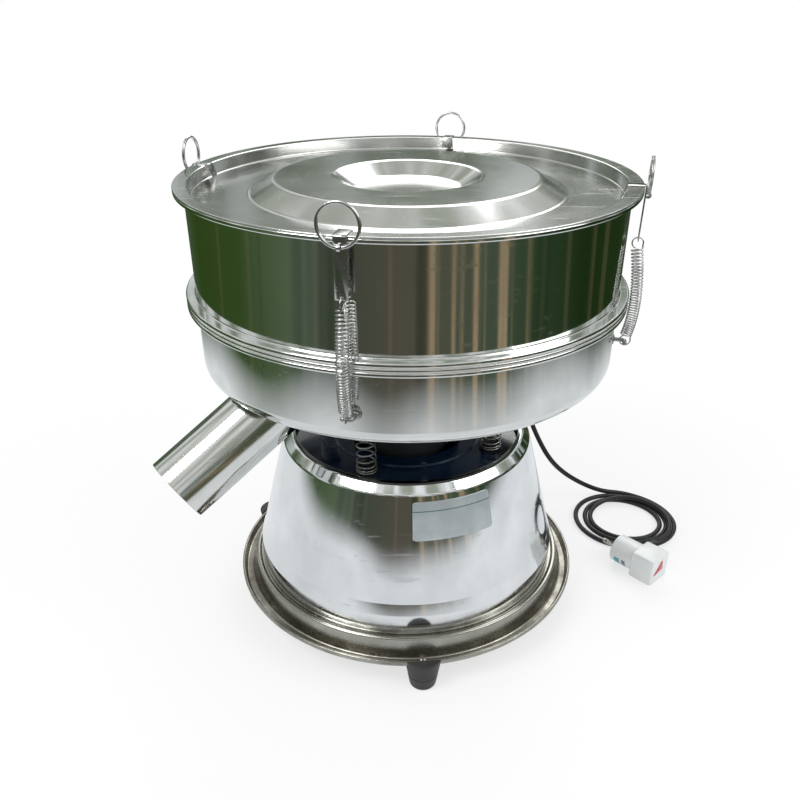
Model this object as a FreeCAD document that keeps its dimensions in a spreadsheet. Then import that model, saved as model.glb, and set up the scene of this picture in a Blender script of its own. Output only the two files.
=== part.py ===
"""Vibrating sieve with a 400 mm deck, modelled in millimetres.

Frame: +Z up, the origin on the machine's axis at the level its feet stand on, and -Y towards the front.
A bearing is an angle about the axis in degrees, 0 at the front and positive towards +X.
Every size lives in the spreadsheet; each sub-part reads it through expressions.
"""
import FreeCAD, Part
import Sketcher
import math
import os

Vector = FreeCAD.Vector
Rotation = FreeCAD.Rotation
Placement = FreeCAD.Placement

SIZES = {
    # deck rings: lid, barrel, screen and pan share one bore and one flange
    "deck_radius": 200,
    "deck_sheet": 1.5,
    "flange_reach": 9,
    "flange_thick": 4,
    "barrel_height": 97.5,
    "pan_flange_level": 347,
    "pan_depth": 98,
    "pan_corner": 55,
    "pan_weld_inset": 4,
    # lid
    "lid_sheet": 1.5,
    "lid_gap": 1,
    "lid_drop": 12,
    "lid_cone_outer": 144,
    "lid_cone_inner": 121,
    "lid_dish_outer": 68,
    "lid_dish_inner": 50,
    # screen and its seals
    "screen_ring_width": 14,
    "screen_ring_thick": 2.4,
    "seal_thick": 0.8,
    "mesh_thick": 0.6,
    # outlet spout
    "spout_radius": 31.75,
    "spout_wall": 1.5,
    "spout_hole_gap": 0.5,
    "spout_bearing": -56,
    "spout_fall": 30,
    "spout_overhang": 54,
    "spout_drop": 45,
    "spout_run": 150,
    # chassis bell
    "bell_sheet": 1.5,
    "bell_skirt_radius": 163,
    "bell_seam_inset": 4,
    "bell_taper": 28,
    "bell_crown_inset": 8,
    "bell_mouth_inset": 5,
    "bell_skirt_height": 23,
    "bell_seam_height": 12,
    "bell_cone_height": 108,
    "bell_crown_height": 9,
    "bell_shoulder_round": 5,
    "bell_foot_width": 15,
    # tray under the bell
    "tray_sheet": 2,
    "tray_seat_level": 47,
    "tray_gap": 2.5,
    "tray_ridge_width": 3.5,
    "tray_ridge_rise": 2,
    "tray_channel_level": 28,
    "tray_slope_run": 5,
    "tray_channel_width": 7.5,
    "tray_rim_run": 4.5,
    "tray_rim_rise": 7,
    "tray_hem": 4.5,
    # rubber feet
    "foot_height": 36,
    "foot_top_radius": 18.6,
    "foot_base_radius": 13,
    "foot_base_round": 3,
    "foot_inset": 3.5,
    "foot_bearing": 5,
    "foot_socket_radius": 5,
    "foot_socket_depth": 10,
    "foot_screw_radius": 2,
    "foot_screw_head": 3,
    "foot_screw_head_height": 2.2,
    "foot_screw_length": 14,
    "chassis_screw_radius": 2.5,
    "chassis_screw_head": 4.5,
    "chassis_screw_head_height": 3,
    "chassis_screw_length": 10,
    # suspension between the bell and the pan
    "plate_depth": 10,
    "plate_thick": 3,
    "plate_step_radius": 78,
    "plate_step_rise": 2,
    "plate_hole_radius": 62,
    "plate_screw_radius": 2.5,
    "plate_screw_head": 4.2,
    "plate_screw_head_height": 2,
    "plate_screw_length": 10,
    "bracket_reach": 20,
    "bracket_height": 26,
    "bracket_width": 18,
    "bracket_thick": 3,
    "spring_pitch_radius": 95,
    "spring_bearing": -24.5,
    "spring_radius": 10.5,
    "spring_wire": 2,
    "seat_washer_radius": 12,
    "seat_washer_thick": 1.5,
    "seat_boss_height": 7,
    "seat_gap": 0.5,
    # vibration motor hung under the pan
    "post_radius": 5,
    "post_pitch_radius": 50,
    "post_length": 34,
    "cap_radius": 56,
    "cap_thick": 8,
    "housing_radius": 44,
    "housing_wall": 3,
    "housing_length": 80,
    "stator_bore": 25,
    "stator_length": 45,
    "air_gap": 0.5,
    "bearing_radius": 16,
    "bearing_bore": 6.02,
    "bearing_length": 10,
    "bearing_seat_wall": 4,
    "shaft_radius": 6,
    "shaft_overhang": 28,
    "weight_radius": 36,
    "weight_hub_radius": 13,
    "weight_thick": 14,
    "weight_gap": 6,
    "weight_spread": 160,
    "motor_screw_radius": 3,
    "motor_screw_head": 5.2,
    "motor_screw_head_height": 4,
    "motor_screw_length": 22,
    "weight_screw_radius": 2.5,
    # clips, pull rings and their extension springs
    "clip_bearing": -13.5,
    "clip_width": 10.5,
    "clip_sheet": 1,
    "clip_gap": 0.9,
    "clip_leg": 48,
    "clip_lean": 0.6,
    "clip_tongue": 11,
    "clip_tongue_lean": 4,
    "clip_hole_radius": 2.2,
    "clip_hole_inset": 4,
    "ring_radius": 15.7,
    "ring_wire_radius": 1.3,
    "ring_drop": 7.7,
    "eye_seat": 0.4,
    "eye_gap": 0.25,
    "eye_wall": 1.2,
    "eye_width": 3,
    "coil_radius": 5.5,
    "coil_wire_radius": 0.65,
    "spring_bow": 1.7,
    "hook_level": 310.5,
    "hook_radius": 2,
    "hook_reach": 11,
    "hook_offset": 5,
    "hook_turn": 8.5,
    "hook_gap": 0.25,
    "hook_washer_radius": 5,
    "hook_washer_thick": 1.2,
    # supply lead
    "lead_radius": 3,
    "gland_bearing": 138,
    "gland_level": 152,
    "gland_radius": 8.5,
    "gland_thread_radius": 6.5,
    "gland_length": 18,
    "gland_collar": 6,
    "gland_sleeve_wall": 1.8,
    "gland_nut_radius": 9.5,
    "gland_nut_thick": 5,
    "gland_seat_gap": 0.5,
    "coil_centre_x": 283,
    "coil_centre_y": 97,
    "coil_outer_radius": 64,
    "coil_inner_radius": 36,
    "coil_height": 13,
    # plug on the lead's end
    "plug_corner_x": 281,
    "plug_corner_y": -34,
    "plug_turn": 133,
    "plug_box_length": 30,
    "plug_box_width": 34,
    "plug_box_height": 34,
    "plug_round": 3,
    "plug_nose_radius": 16.5,
    "plug_nose_length": 28,
    "blade_length": 17,
    "blade_width": 6.3,
    "blade_thick": 1.6,
    "blade_spacing": 12.7,
    "blade_roll": 40,
    "sleeve_station": 38,
    "sleeve_level": 22,
    "sleeve_length": 9.5,
    "sleeve_root_radius": 5.5,
    "sleeve_tip_radius": 4.2,
    "lens_thick": 1,
    "lens_inset": 4,
    "lens_level": 14,
    "lens_width": 17,
    "lens_height": 15,
    "lens_slant": 2.5,
}

DECK_CLIPS = 4
SUSPENSION_SPRINGS = 4
FEET = 3
MOTOR_POSTS = 4

# Points that the free stretches of the lead pass near, from the gland and from the plug to the coil.
LEAD_ROUTE = (
    Vector(122, 135, 161.5),
    Vector(141, 149, 152),
    Vector(155, 153, 131),
    Vector(167, 143, 103),
    Vector(184, 133, 74),
    Vector(206, 138, 49),
    Vector(236, 150, 24),
    Vector(266, 158, 7),
)
TAIL_ROUTE = (
    Vector(297, 33, 20),
    Vector(306, 39.5, 10),
)


class Size:
    """A length or angle worked out from the sheet, with the expression that keeps it up to date."""

    def __init__(self, value, text):
        self.value = value
        self.text = text

    def __add__(self, other):
        other = as_size(other)
        return Size(self.value + other.value, f"({self.text} + {other.text})")

    def __sub__(self, other):
        other = as_size(other)
        return Size(self.value - other.value, f"({self.text} - {other.text})")

    def __mul__(self, other):
        other = as_size(other)
        return Size(self.value * other.value, f"({self.text} * {other.text})")

    def __truediv__(self, other):
        other = as_size(other)
        return Size(self.value / other.value, f"({self.text} / {other.text})")

    def __neg__(self):
        return Size(-self.value, f"(-{self.text})")

    def __radd__(self, other):
        return as_size(other) + self

    def __rsub__(self, other):
        return as_size(other) - self

    def __rmul__(self, other):
        return as_size(other) * self


def as_size(number):
    """A plain number as a Size; a Size as it is."""
    return number if isinstance(number, Size) else Size(number, str(number))


def sine(angle):
    """The sine of an angle in degrees."""
    angle = as_size(angle)
    return Size(math.sin(math.radians(angle.value)), f"sin({angle.text})")


def cosine(angle):
    """The cosine of an angle in degrees."""
    angle = as_size(angle)
    return Size(math.cos(math.radians(angle.value)), f"cos({angle.text})")


class Sheet:
    """The spreadsheet of driving sizes; each alias is an attribute that gives its Size."""

    def __init__(self, document, sizes):
        cells = document.addObject("Spreadsheet::Sheet", "Sizes")
        for row, (name, value) in enumerate(sizes.items(), start=1):
            cells.set(f"A{row}", name)
            cells.set(f"B{row}", str(value))
            cells.setAlias(f"B{row}", name)
            setattr(self, name, Size(value, f"Sizes.{name}"))


document = FreeCAD.newDocument("VibratingSieve")
size = Sheet(document, SIZES)
document.recompute()
nodes = []

# Levels of the deck, from the pan up
pan_floor = size.pan_flange_level - size.pan_depth
pan_base_radius = size.deck_radius - size.pan_corner - size.pan_weld_inset
pan_rim = size.pan_flange_level + size.flange_thick
screen_bottom = pan_rim + size.seal_thick
screen_top = screen_bottom + size.screen_ring_thick
barrel_foot = screen_top + size.seal_thick
barrel_rim = barrel_foot + size.barrel_height
lid_top = barrel_rim + size.lid_sheet
lid_floor = lid_top - size.lid_drop
flange_radius = size.deck_radius + size.flange_reach
deck_bore = size.deck_radius - size.deck_sheet

# Levels of the chassis, from the tray up
skirt_top = size.tray_seat_level + size.bell_skirt_height
seam_top = skirt_top + size.bell_seam_height
shoulder = seam_top + size.bell_cone_height
crown = shoulder + size.bell_crown_height
plate_top = crown - size.plate_depth
plate_bottom = plate_top - size.plate_thick
tray_underside = size.tray_channel_level - size.tray_sheet
chassis_screw_pitch = size.bell_skirt_radius - size.bell_foot_width / 2

# Radii of the chassis, from the bell's skirt inwards and outwards
bell_seam_radius = size.bell_skirt_radius - size.bell_seam_inset
bell_shoulder_radius = bell_seam_radius - size.bell_taper
bell_crown_radius = bell_shoulder_radius - size.bell_crown_inset
bell_mouth_radius = bell_crown_radius - size.bell_mouth_inset
ridge_inner = size.bell_skirt_radius + size.tray_gap
ridge_outer = ridge_inner + size.tray_ridge_rise + size.tray_ridge_width
channel_inner = ridge_outer + size.tray_slope_run
channel_outer = channel_inner + size.tray_channel_width
tray_radius = channel_outer + size.tray_rim_run
foot_pitch_radius = channel_inner + size.foot_inset

# Levels of the motor, from its upper cap down
cap_top = pan_floor - size.post_length
cap_bottom = cap_top - size.cap_thick
housing_bottom = cap_bottom - size.housing_length
motor_bottom = housing_bottom - size.cap_thick


# ---------------------------------------------------------------- helpers

def bind(thing, path, value):
    """Set one property of an object to a Size and keep it bound to the sheet."""
    thing.setExpression(path, as_size(value).text)


def keep(thing, label):
    """Name a finished sub-part and list it for export."""
    thing.Label = label
    nodes.append(thing)
    return thing


def place(thing, x=0, y=0, level=0, turn=0):
    """Stand an upright object at a point, turned about the vertical."""
    x, y, level, turn = as_size(x), as_size(y), as_size(level), as_size(turn)
    base = Vector(x.value, y.value, level.value)
    thing.Placement = Placement(base, Rotation(Vector(0, 0, 1), turn.value))
    bind(thing, "Placement.Base.x", x)
    bind(thing, "Placement.Base.y", y)
    bind(thing, "Placement.Base.z", level)
    bind(thing, "Placement.Rotation.Angle", turn)
    return thing


def point_at(radius, bearing):
    """The x and y of a point at a radius and a bearing."""
    return radius * sine(bearing), -(radius * cosine(bearing))


def outward(bearing):
    """The turn that brings a piece drawn along +X to a bearing."""
    return bearing - 90


def bearings(first, count):
    """Evenly spaced bearings."""
    return [first + 360 * index / count for index in range(count)]


def origin_plane(body, role):
    """One of the body's own origin planes."""
    return next(item for item in body.Origin.OriginFeatures if item.Role == role)


def sketch_on(body, plane):
    """An empty sketch on one of the body's origin planes."""
    sketch = body.newObject("Sketcher::SketchObject", "Sketch")
    sketch.AttachmentSupport = [(origin_plane(body, plane), "")]
    sketch.MapMode = "FlatFace"
    return sketch


def fix_point(sketch, line, x, y):
    """Hold the start of a line at a point of the sheet's making."""
    for kind, axis, value in (("DistanceX", -2, as_size(x)), ("DistanceY", -1, as_size(y))):
        if value.value == 0:
            sketch.addConstraint(Sketcher.Constraint("PointOnObject", line, 1, axis))
            continue
        name = f"{kind}_{line}"
        index = sketch.addConstraint(Sketcher.Constraint(kind, -1, 1, line, 1, value.value))
        sketch.renameConstraint(index, name)
        bind(sketch, f"Constraints.{name}", value)


def outline(body, plane, corners):
    """A closed outline of straight lines through the corners."""
    sketch = sketch_on(body, plane)
    points = [Vector(as_size(x).value, as_size(y).value, 0) for x, y in corners]
    for start, end in zip(points, points[1:] + points[:1]):
        sketch.addGeometry(Part.LineSegment(start, end), False)
    count = len(points)
    for line in range(count):
        sketch.addConstraint(Sketcher.Constraint("Coincident", line, 2, (line + 1) % count, 1))
    for line, (x, y) in enumerate(corners):
        fix_point(sketch, line, x, y)
    return sketch


def circle(body, plane, x, y, radius):
    """A circle about a point."""
    sketch = sketch_on(body, plane)
    x, y, radius = as_size(x), as_size(y), as_size(radius)
    sketch.addGeometry(Part.Circle(Vector(x.value, y.value, 0), Vector(0, 0, 1), radius.value), False)
    sketch.addConstraint(Sketcher.Constraint("Radius", 0, radius.value))
    sketch.renameConstraint(0, "Radius")
    bind(sketch, "Constraints.Radius", radius)
    for kind, axis, value in (("DistanceX", -2, x), ("DistanceY", -1, y)):
        if value.value == 0:
            sketch.addConstraint(Sketcher.Constraint("PointOnObject", 0, 3, axis))
            continue
        index = sketch.addConstraint(Sketcher.Constraint(kind, -1, 1, 0, 3, value.value))
        sketch.renameConstraint(index, kind)
        bind(sketch, f"Constraints.{kind}", value)
    return sketch


def new_body(label):
    """An empty body."""
    body = document.addObject("PartDesign::Body", "Body")
    body.Label = label
    return body


def turned(label, corners):
    """A body turned about the vertical from its half section of radii and levels."""
    body = new_body(label)
    section = outline(body, "XZ_Plane", corners)
    turn = body.newObject("PartDesign::Revolution", "Turn")
    turn.Profile = section
    turn.ReferenceAxis = (section, ["V_Axis"])
    turn.Angle = 360
    return body


def padded(body, sketch, length, both_ways=False):
    """A pad of a sketch, to one side or evenly to both."""
    pad = body.newObject("PartDesign::Pad", "Pad")
    pad.Profile = sketch
    pad.Midplane = both_ways
    bind(pad, "Length", length)
    return pad


def cut_through(body, sketch, reverse=False):
    """A pocket of a sketch, right through to one side."""
    pocket = body.newObject("PartDesign::Pocket", "Hole")
    pocket.Profile = sketch
    pocket.Type = "ThroughAll"
    pocket.Reversed = reverse
    return pocket


def rounded(body, wanted, radius):
    """Fillet the edges of the body's last feature that a test picks out."""
    document.recompute()
    base = body.Tip
    picked = [f"Edge{number}" for number, edge in enumerate(base.Shape.Edges, start=1) if wanted(edge)]
    fillet = body.newObject("PartDesign::Fillet", "Round")
    fillet.Base = (base, picked)
    bind(fillet, "Radius", radius)
    return fillet


def ring_at(radius, level):
    """A test for the circular edge about the vertical at a radius and a level."""
    wanted_radius, wanted_level = as_size(radius).value, as_size(level).value

    def test(edge):
        curve = edge.Curve
        if not isinstance(curve, Part.Circle):
            return False
        return math.isclose(curve.Radius, wanted_radius, abs_tol=1e-4) and math.isclose(
            curve.Center.z, wanted_level, abs_tol=1e-4
        )

    return test


def cylinder(radius, height):
    """A plain cylinder standing on the origin."""
    thing = document.addObject("Part::Cylinder", "Cylinder")
    bind(thing, "Radius", radius)
    bind(thing, "Height", height)
    return thing


def cut(base, tool):
    """One solid less another."""
    thing = document.addObject("Part::Cut", "Cut")
    thing.Base = base
    thing.Tool = tool
    return thing


def fused(*shapes):
    """Several solids as one."""
    thing = document.addObject("Part::MultiFuse", "Fusion")
    thing.Shapes = list(shapes)
    return thing


def grouped(shapes):
    """Separate solids of one kind as one sub-part."""
    thing = document.addObject("Part::Compound", "Group")
    thing.Links = list(shapes)
    return thing


def bent_path(points):
    """Straight runs joined by tangent arcs, each as large as its two runs allow, and the arc radii."""
    edges = []
    radii = []
    start = points[0]
    for before, corner, after in zip(points, points[1:], points[2:]):
        arrive = (corner - before).normalize()
        leave = (after - corner).normalize()
        shorter = min((corner - before).Length, (after - corner).Length)
        setback = 0.45 * shorter
        half_turn = arrive.getAngle(leave) / 2
        radius = setback / math.tan(half_turn)
        inward = (leave - arrive).normalize()
        middle = corner + inward * (radius / math.cos(half_turn) - radius)
        arc_start = corner - arrive * setback
        arc_end = corner + leave * setback
        edges.append(Part.LineSegment(start, arc_start).toShape())
        edges.append(Part.Arc(arc_start, middle, arc_end).toShape())
        radii.append(radius)
        start = arc_end
    edges.append(Part.LineSegment(start, points[-1]).toShape())
    return Part.Wire(edges), radii


def bent_rod(points, radius):
    """A round rod along a bent path."""
    path, radii = bent_path(points)
    section = Part.Wire(Part.makeCircle(radius, points[0], points[1] - points[0]))
    rod = path.makePipeShell([section], True, True)
    return rod, path.Length, radii


def feature(shape, placement=None):
    """A document object that holds a shape made here."""
    thing = document.addObject("Part::Feature", "Shape")
    thing.Shape = shape
    if placement:
        thing.Placement = placement
    return thing


# ---------------------------------------------------------------- deck

def build_lid():
    """A pressed lid: flange, rim wall, sunk ring, raised crown and a soft central dish."""
    outer = deck_bore - size.lid_gap
    inner = outer - size.lid_sheet
    underside = lid_floor - size.lid_sheet
    crown_underside = lid_top - size.lid_sheet
    corners = (
        (0, underside),
        (size.lid_dish_inner, underside),
        (size.lid_dish_outer, crown_underside),
        (size.lid_cone_inner, crown_underside),
        (size.lid_cone_outer, underside),
        (outer, underside),
        (outer, barrel_rim),
        (flange_radius, barrel_rim),
        (flange_radius, lid_top),
        (inner, lid_top),
        (inner, lid_floor),
        (size.lid_cone_outer, lid_floor),
        (size.lid_cone_inner, lid_top),
        (size.lid_dish_outer, lid_top),
        (size.lid_dish_inner, lid_floor),
        (0, lid_floor),
    )
    keep(turned("lid", corners), "lid")


def build_barrel():
    """The sieve barrel: a rolled wall with a flange at each end."""
    corners = (
        (deck_bore, barrel_foot),
        (flange_radius, barrel_foot),
        (flange_radius, barrel_foot + size.flange_thick),
        (size.deck_radius, barrel_foot + size.flange_thick),
        (size.deck_radius, barrel_rim - size.flange_thick),
        (flange_radius, barrel_rim - size.flange_thick),
        (flange_radius, barrel_rim),
        (deck_bore, barrel_rim),
    )
    keep(turned("sieve_barrel", corners), "sieve_barrel")


def ring(label, inner, outer, bottom, top):
    """A flat ring."""
    corners = ((inner, bottom), (outer, bottom), (outer, top), (inner, top))
    return keep(turned(label, corners), label)


def build_screen():
    """The screen: a flat steel ring with the woven mesh inside it and a seal on each face."""
    bore = flange_radius - size.screen_ring_width
    ring("screen_frame", bore, flange_radius, screen_bottom, screen_top)
    ring("lower_seal", deck_bore, flange_radius, pan_rim, screen_bottom)
    ring("upper_seal", deck_bore, flange_radius, screen_top, barrel_foot)
    level = (screen_bottom + screen_top - size.mesh_thick) / 2
    keep(place(cylinder(bore, size.mesh_thick), level=level), "screen_mesh")


def pan_outside(label):
    """The space that the pan takes up, flange left out."""
    corners = (
        (0, pan_floor),
        (size.deck_radius, pan_floor),
        (size.deck_radius, pan_rim),
        (0, pan_rim),
    )
    body = turned(label, corners)
    rounded(body, ring_at(size.deck_radius, pan_floor), size.pan_corner)
    return body


def spout_rod(label, radius):
    """A cylinder along the spout's axis, from its mouth to well inside the pan."""
    rod = document.addObject("Part::Cylinder", "Rod")
    rod.Label = label
    bind(rod, "Radius", radius)
    bind(rod, "Height", size.spout_run)
    x, y = point_at(size.deck_radius + size.spout_overhang, size.spout_bearing)
    fall = math.radians(size.spout_fall.value)
    bearing = math.radians(size.spout_bearing.value)
    inward = Vector(
        -math.cos(fall) * math.sin(bearing), math.cos(fall) * math.cos(bearing), math.sin(fall)
    )
    mouth = Vector(x.value, y.value, (pan_floor - size.spout_drop).value)
    rod.Placement = Placement(mouth, Rotation(Vector(0, 0, 1), inward))
    return rod


def build_pan():
    """The collecting pan: a spun wall and a flat base welded into it, both holed for the spout."""
    inside = pan_floor + size.deck_sheet
    corners = (
        (pan_base_radius, pan_floor),
        (size.deck_radius, pan_floor),
        (size.deck_radius, size.pan_flange_level),
        (flange_radius, size.pan_flange_level),
        (flange_radius, pan_rim),
        (deck_bore, pan_rim),
        (deck_bore, inside),
        (pan_base_radius, inside),
    )
    shell = turned("pan_shell", corners)
    rounded(shell, ring_at(size.deck_radius, pan_floor), size.pan_corner)
    rounded(shell, ring_at(deck_bore, inside), size.pan_corner - size.deck_sheet)
    disc = place(cylinder(pan_base_radius, size.deck_sheet), level=pan_floor)
    bore = spout_rod("pan_outlet", size.spout_radius - size.spout_wall + size.spout_hole_gap)
    keep(cut(shell, bore), "collecting_pan")
    keep(cut(disc, bore), "pan_base")


def build_spout():
    """The outlet spout: a tube welded to the pan's lower corner."""
    tube = cut(
        spout_rod("spout_outside", size.spout_radius),
        spout_rod("spout_bore", size.spout_radius - size.spout_wall),
    )
    keep(cut(tube, pan_outside("pan_space")), "outlet_spout")


# ---------------------------------------------------------------- chassis

def bell_cone_radius(level):
    """The bell's outer radius on its cone, at a level."""
    slope = (bell_seam_radius - bell_shoulder_radius) / size.bell_cone_height
    return bell_seam_radius - (as_size(level) - seam_top) * slope


def gland_axis():
    """Where the supply lead leaves the bell, and the direction square to its wall."""
    rise = math.atan2(
        (bell_seam_radius - bell_shoulder_radius).value, size.bell_cone_height.value
    )
    bearing = math.radians(size.gland_bearing.value)
    level = Vector(math.cos(rise) * math.sin(bearing), -math.cos(rise) * math.cos(bearing), 0)
    direction = level + Vector(0, 0, math.sin(rise))
    x, y = point_at(bell_cone_radius(size.gland_level), size.gland_bearing)
    return Vector(x.value, y.value, size.gland_level.value), direction


def aligned(thing, offset=0):
    """Stand an object on the gland's axis, at an offset from the wall."""
    wall, direction = gland_axis()
    base = wall + direction * as_size(offset).value
    thing.Placement = Placement(base, Rotation(Vector(0, 0, 1), direction))
    return thing


def build_bell():
    """The chassis bell: foot flange, skirt, seam, cone and rolled mouth, with the lead's hole."""
    sheet = size.bell_sheet
    foot = size.bell_skirt_radius - size.bell_foot_width
    seat = size.tray_seat_level
    corners = (
        (foot, seat),
        (size.bell_skirt_radius, seat),
        (size.bell_skirt_radius, skirt_top),
        (bell_seam_radius, seam_top),
        (bell_shoulder_radius, shoulder),
        (bell_crown_radius, crown),
        (bell_mouth_radius, crown),
        (bell_mouth_radius, crown - sheet),
        (bell_crown_radius - sheet / 2, crown - sheet),
        (bell_shoulder_radius - sheet, shoulder),
        (bell_seam_radius - sheet, seam_top),
        (size.bell_skirt_radius - sheet, skirt_top),
        (size.bell_skirt_radius - sheet, seat + sheet),
        (foot, seat + sheet),
    )
    body = turned("bell_shell", corners)
    rounded(body, ring_at(bell_shoulder_radius, shoulder), size.bell_shoulder_round)
    rounded(body, ring_at(bell_crown_radius, crown), size.bell_shoulder_round)
    hole = aligned(cylinder(size.gland_thread_radius, 2 * size.gland_length), -size.gland_length)
    screws = grouped(chassis_screw_holes())
    keep(cut(cut(body, hole), screws), "chassis_bell")


def chassis_screw_holes():
    """Cylinders where the chassis screws pass the bell's foot flange and the tray."""
    holes = []
    for bearing in bearings(size.foot_bearing + 180 / FEET, FEET):
        hole = cylinder(size.chassis_screw_radius, 4 * size.chassis_screw_length)
        x, y = point_at(chassis_screw_pitch, bearing)
        holes.append(place(hole, x, y, size.tray_seat_level - 2 * size.chassis_screw_length))
    return holes


def build_chassis_screws():
    """Three screws that hold the bell down on the tray, each with its nut."""
    underside = size.tray_seat_level - size.tray_sheet
    flange_top = size.tray_seat_level + size.bell_sheet
    screws = []
    for bearing in bearings(size.foot_bearing + 180 / FEET, FEET):
        x, y = point_at(chassis_screw_pitch, bearing)
        head = cylinder(size.chassis_screw_head, size.chassis_screw_head_height)
        place(head, x, y, underside - size.chassis_screw_head_height)
        shank = cylinder(size.chassis_screw_radius, size.chassis_screw_length)
        place(shank, x, y, underside)
        nut = hexagon(size.chassis_screw_head, size.chassis_screw_head_height)
        place(nut, x, y, flange_top)
        screws.append(fused(head, shank, nut))
    keep(grouped(screws), "chassis_screws")


def hexagon(radius, height):
    """A hexagonal prism about the vertical, sized across its corners."""
    thing = document.addObject("Part::Prism", "Hexagon")
    thing.Polygon = 6
    bind(thing, "Circumradius", radius)
    bind(thing, "Height", height)
    return thing


def build_tray():
    """The drip tray: a seat for the bell, a raised ridge, a channel and a hemmed rim."""
    seat = size.tray_seat_level
    sheet = size.tray_sheet
    rim_top = size.tray_channel_level + size.tray_rim_rise
    rim_inner = tray_radius - size.tray_hem / 2
    corners = (
        (0, seat - sheet),
        (ridge_outer - sheet, seat - sheet),
        (channel_inner - sheet, tray_underside),
        (channel_outer + sheet / 2, tray_underside),
        (rim_inner + sheet / 2, rim_top - size.tray_hem),
        (tray_radius, rim_top - size.tray_hem),
        (tray_radius, rim_top),
        (rim_inner, rim_top),
        (channel_outer, size.tray_channel_level),
        (channel_inner, size.tray_channel_level),
        (ridge_outer, seat + size.tray_ridge_rise),
        (ridge_inner + size.tray_ridge_rise, seat + size.tray_ridge_rise),
        (ridge_inner, seat),
        (0, seat),
    )
    body = turned("tray_pressing", corners)
    foot_holes = []
    for bearing in bearings(size.foot_bearing, FEET):
        hole = cylinder(size.foot_screw_radius, size.foot_height)
        x, y = point_at(foot_pitch_radius, bearing)
        foot_holes.append(place(hole, x, y, size.foot_socket_depth))
    holes = grouped(foot_holes + chassis_screw_holes())
    keep(cut(body, holes), "base_tray")


def build_feet():
    """Three rubber feet under the tray, each notched round its rim and hollow underneath."""
    shank_end = size.tray_channel_level - size.foot_screw_length
    corners = (
        (size.foot_socket_radius, 0),
        (size.foot_base_radius, 0),
        (size.foot_top_radius, size.foot_height),
        (size.foot_screw_radius, size.foot_height),
        (size.foot_screw_radius, shank_end),
        (0, shank_end),
        (0, size.foot_socket_depth),
        (size.foot_socket_radius, size.foot_socket_depth),
    )
    for number, bearing in enumerate(bearings(size.foot_bearing, FEET), start=1):
        body = turned(f"foot_moulding_{number}", corners)
        rounded(body, ring_at(size.foot_base_radius, 0), size.foot_base_round)
        x, y = point_at(foot_pitch_radius, bearing)
        place(body, x, y, 0, outward(bearing))
        tray_space = place(cylinder(tray_radius, size.foot_height), level=tray_underside)
        keep(cut(body, tray_space), f"rubber_foot_{number}")


def build_foot_screws():
    """Three screws that hold the feet to the tray's channel."""
    screws = []
    for bearing in bearings(size.foot_bearing, FEET):
        x, y = point_at(foot_pitch_radius, bearing)
        head = cylinder(size.foot_screw_head, size.foot_screw_head_height)
        place(head, x, y, size.tray_channel_level)
        shank = cylinder(size.foot_screw_radius, size.foot_screw_length)
        place(shank, x, y, size.tray_channel_level - size.foot_screw_length)
        screws.append(fused(head, shank))
    keep(grouped(screws), "foot_screws")


# ---------------------------------------------------------------- suspension

def build_spring_plate():
    """The plate inside the bell's mouth that carries the springs, open round the motor."""
    sheet = size.bell_sheet
    corners = (
        (size.plate_hole_radius, plate_bottom),
        (bell_cone_radius(plate_bottom) - sheet, plate_bottom),
        (bell_cone_radius(plate_top) - sheet, plate_top),
        (size.plate_step_radius, plate_top),
        (size.plate_step_radius, plate_top + size.plate_step_rise),
        (size.plate_hole_radius, plate_top + size.plate_step_rise),
    )
    body = turned("plate_pressing", corners)
    holes = []
    for x, y in plate_screw_places():
        hole = cylinder(size.plate_screw_radius, size.plate_depth + size.plate_thick)
        holes.append(place(hole, x, y, plate_bottom))
    keep(cut(body, grouped(holes)), "spring_plate")


def plate_screw_places():
    """Where the plate is screwed down: midway between the springs, under the bell's crown."""
    middle = size.spring_bearing + 180 / SUSPENSION_SPRINGS
    return [point_at(bell_crown_radius, bearing) for bearing in bearings(middle, SUSPENSION_SPRINGS)]


def build_plate_brackets():
    """Four angle brackets welded inside the bell, under the spring plate."""
    sheet = size.bell_sheet
    low = plate_bottom - size.bracket_height
    corners = (
        (bell_cone_radius(plate_bottom) - size.bracket_reach, plate_bottom - size.bracket_thick),
        (bell_cone_radius(plate_bottom) - size.bracket_thick - sheet, plate_bottom - size.bracket_thick),
        (bell_cone_radius(low) - size.bracket_thick - sheet, low),
        (bell_cone_radius(low) - sheet, low),
        (bell_cone_radius(plate_bottom) - sheet, plate_bottom),
        (bell_cone_radius(plate_bottom) - size.bracket_reach, plate_bottom),
    )
    middle = size.spring_bearing + 180 / SUSPENSION_SPRINGS
    brackets = []
    for bearing in bearings(middle, SUSPENSION_SPRINGS):
        ledge = turned("bracket_ring", corners)
        block = document.addObject("Part::Box", "BracketWidth")
        bind(block, "Length", size.bell_skirt_radius)
        bind(block, "Width", size.bracket_width)
        bind(block, "Height", plate_top)
        turn = outward(bearing)
        half = size.bracket_width / 2
        place(block, half * sine(turn), -(half * cosine(turn)), 0, turn)
        slice_of_ring = document.addObject("Part::Common", "Bracket")
        slice_of_ring.Base = ledge
        slice_of_ring.Tool = block
        hole = cylinder(size.plate_screw_radius, size.plate_screw_length)
        x, y = point_at(bell_crown_radius, bearing)
        place(hole, x, y, plate_top - size.plate_screw_length)
        brackets.append(cut(slice_of_ring, hole))
    keep(grouped(brackets), "plate_brackets")


def build_plate_screws():
    """Four screws from the spring plate into its brackets."""
    screws = []
    for x, y in plate_screw_places():
        head = cylinder(size.plate_screw_head, size.plate_screw_head_height)
        place(head, x, y, plate_top)
        shank = cylinder(size.plate_screw_radius, size.plate_screw_length)
        place(shank, x, y, plate_top - size.plate_screw_length)
        screws.append(fused(head, shank))
    keep(grouped(screws), "plate_screws")


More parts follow.
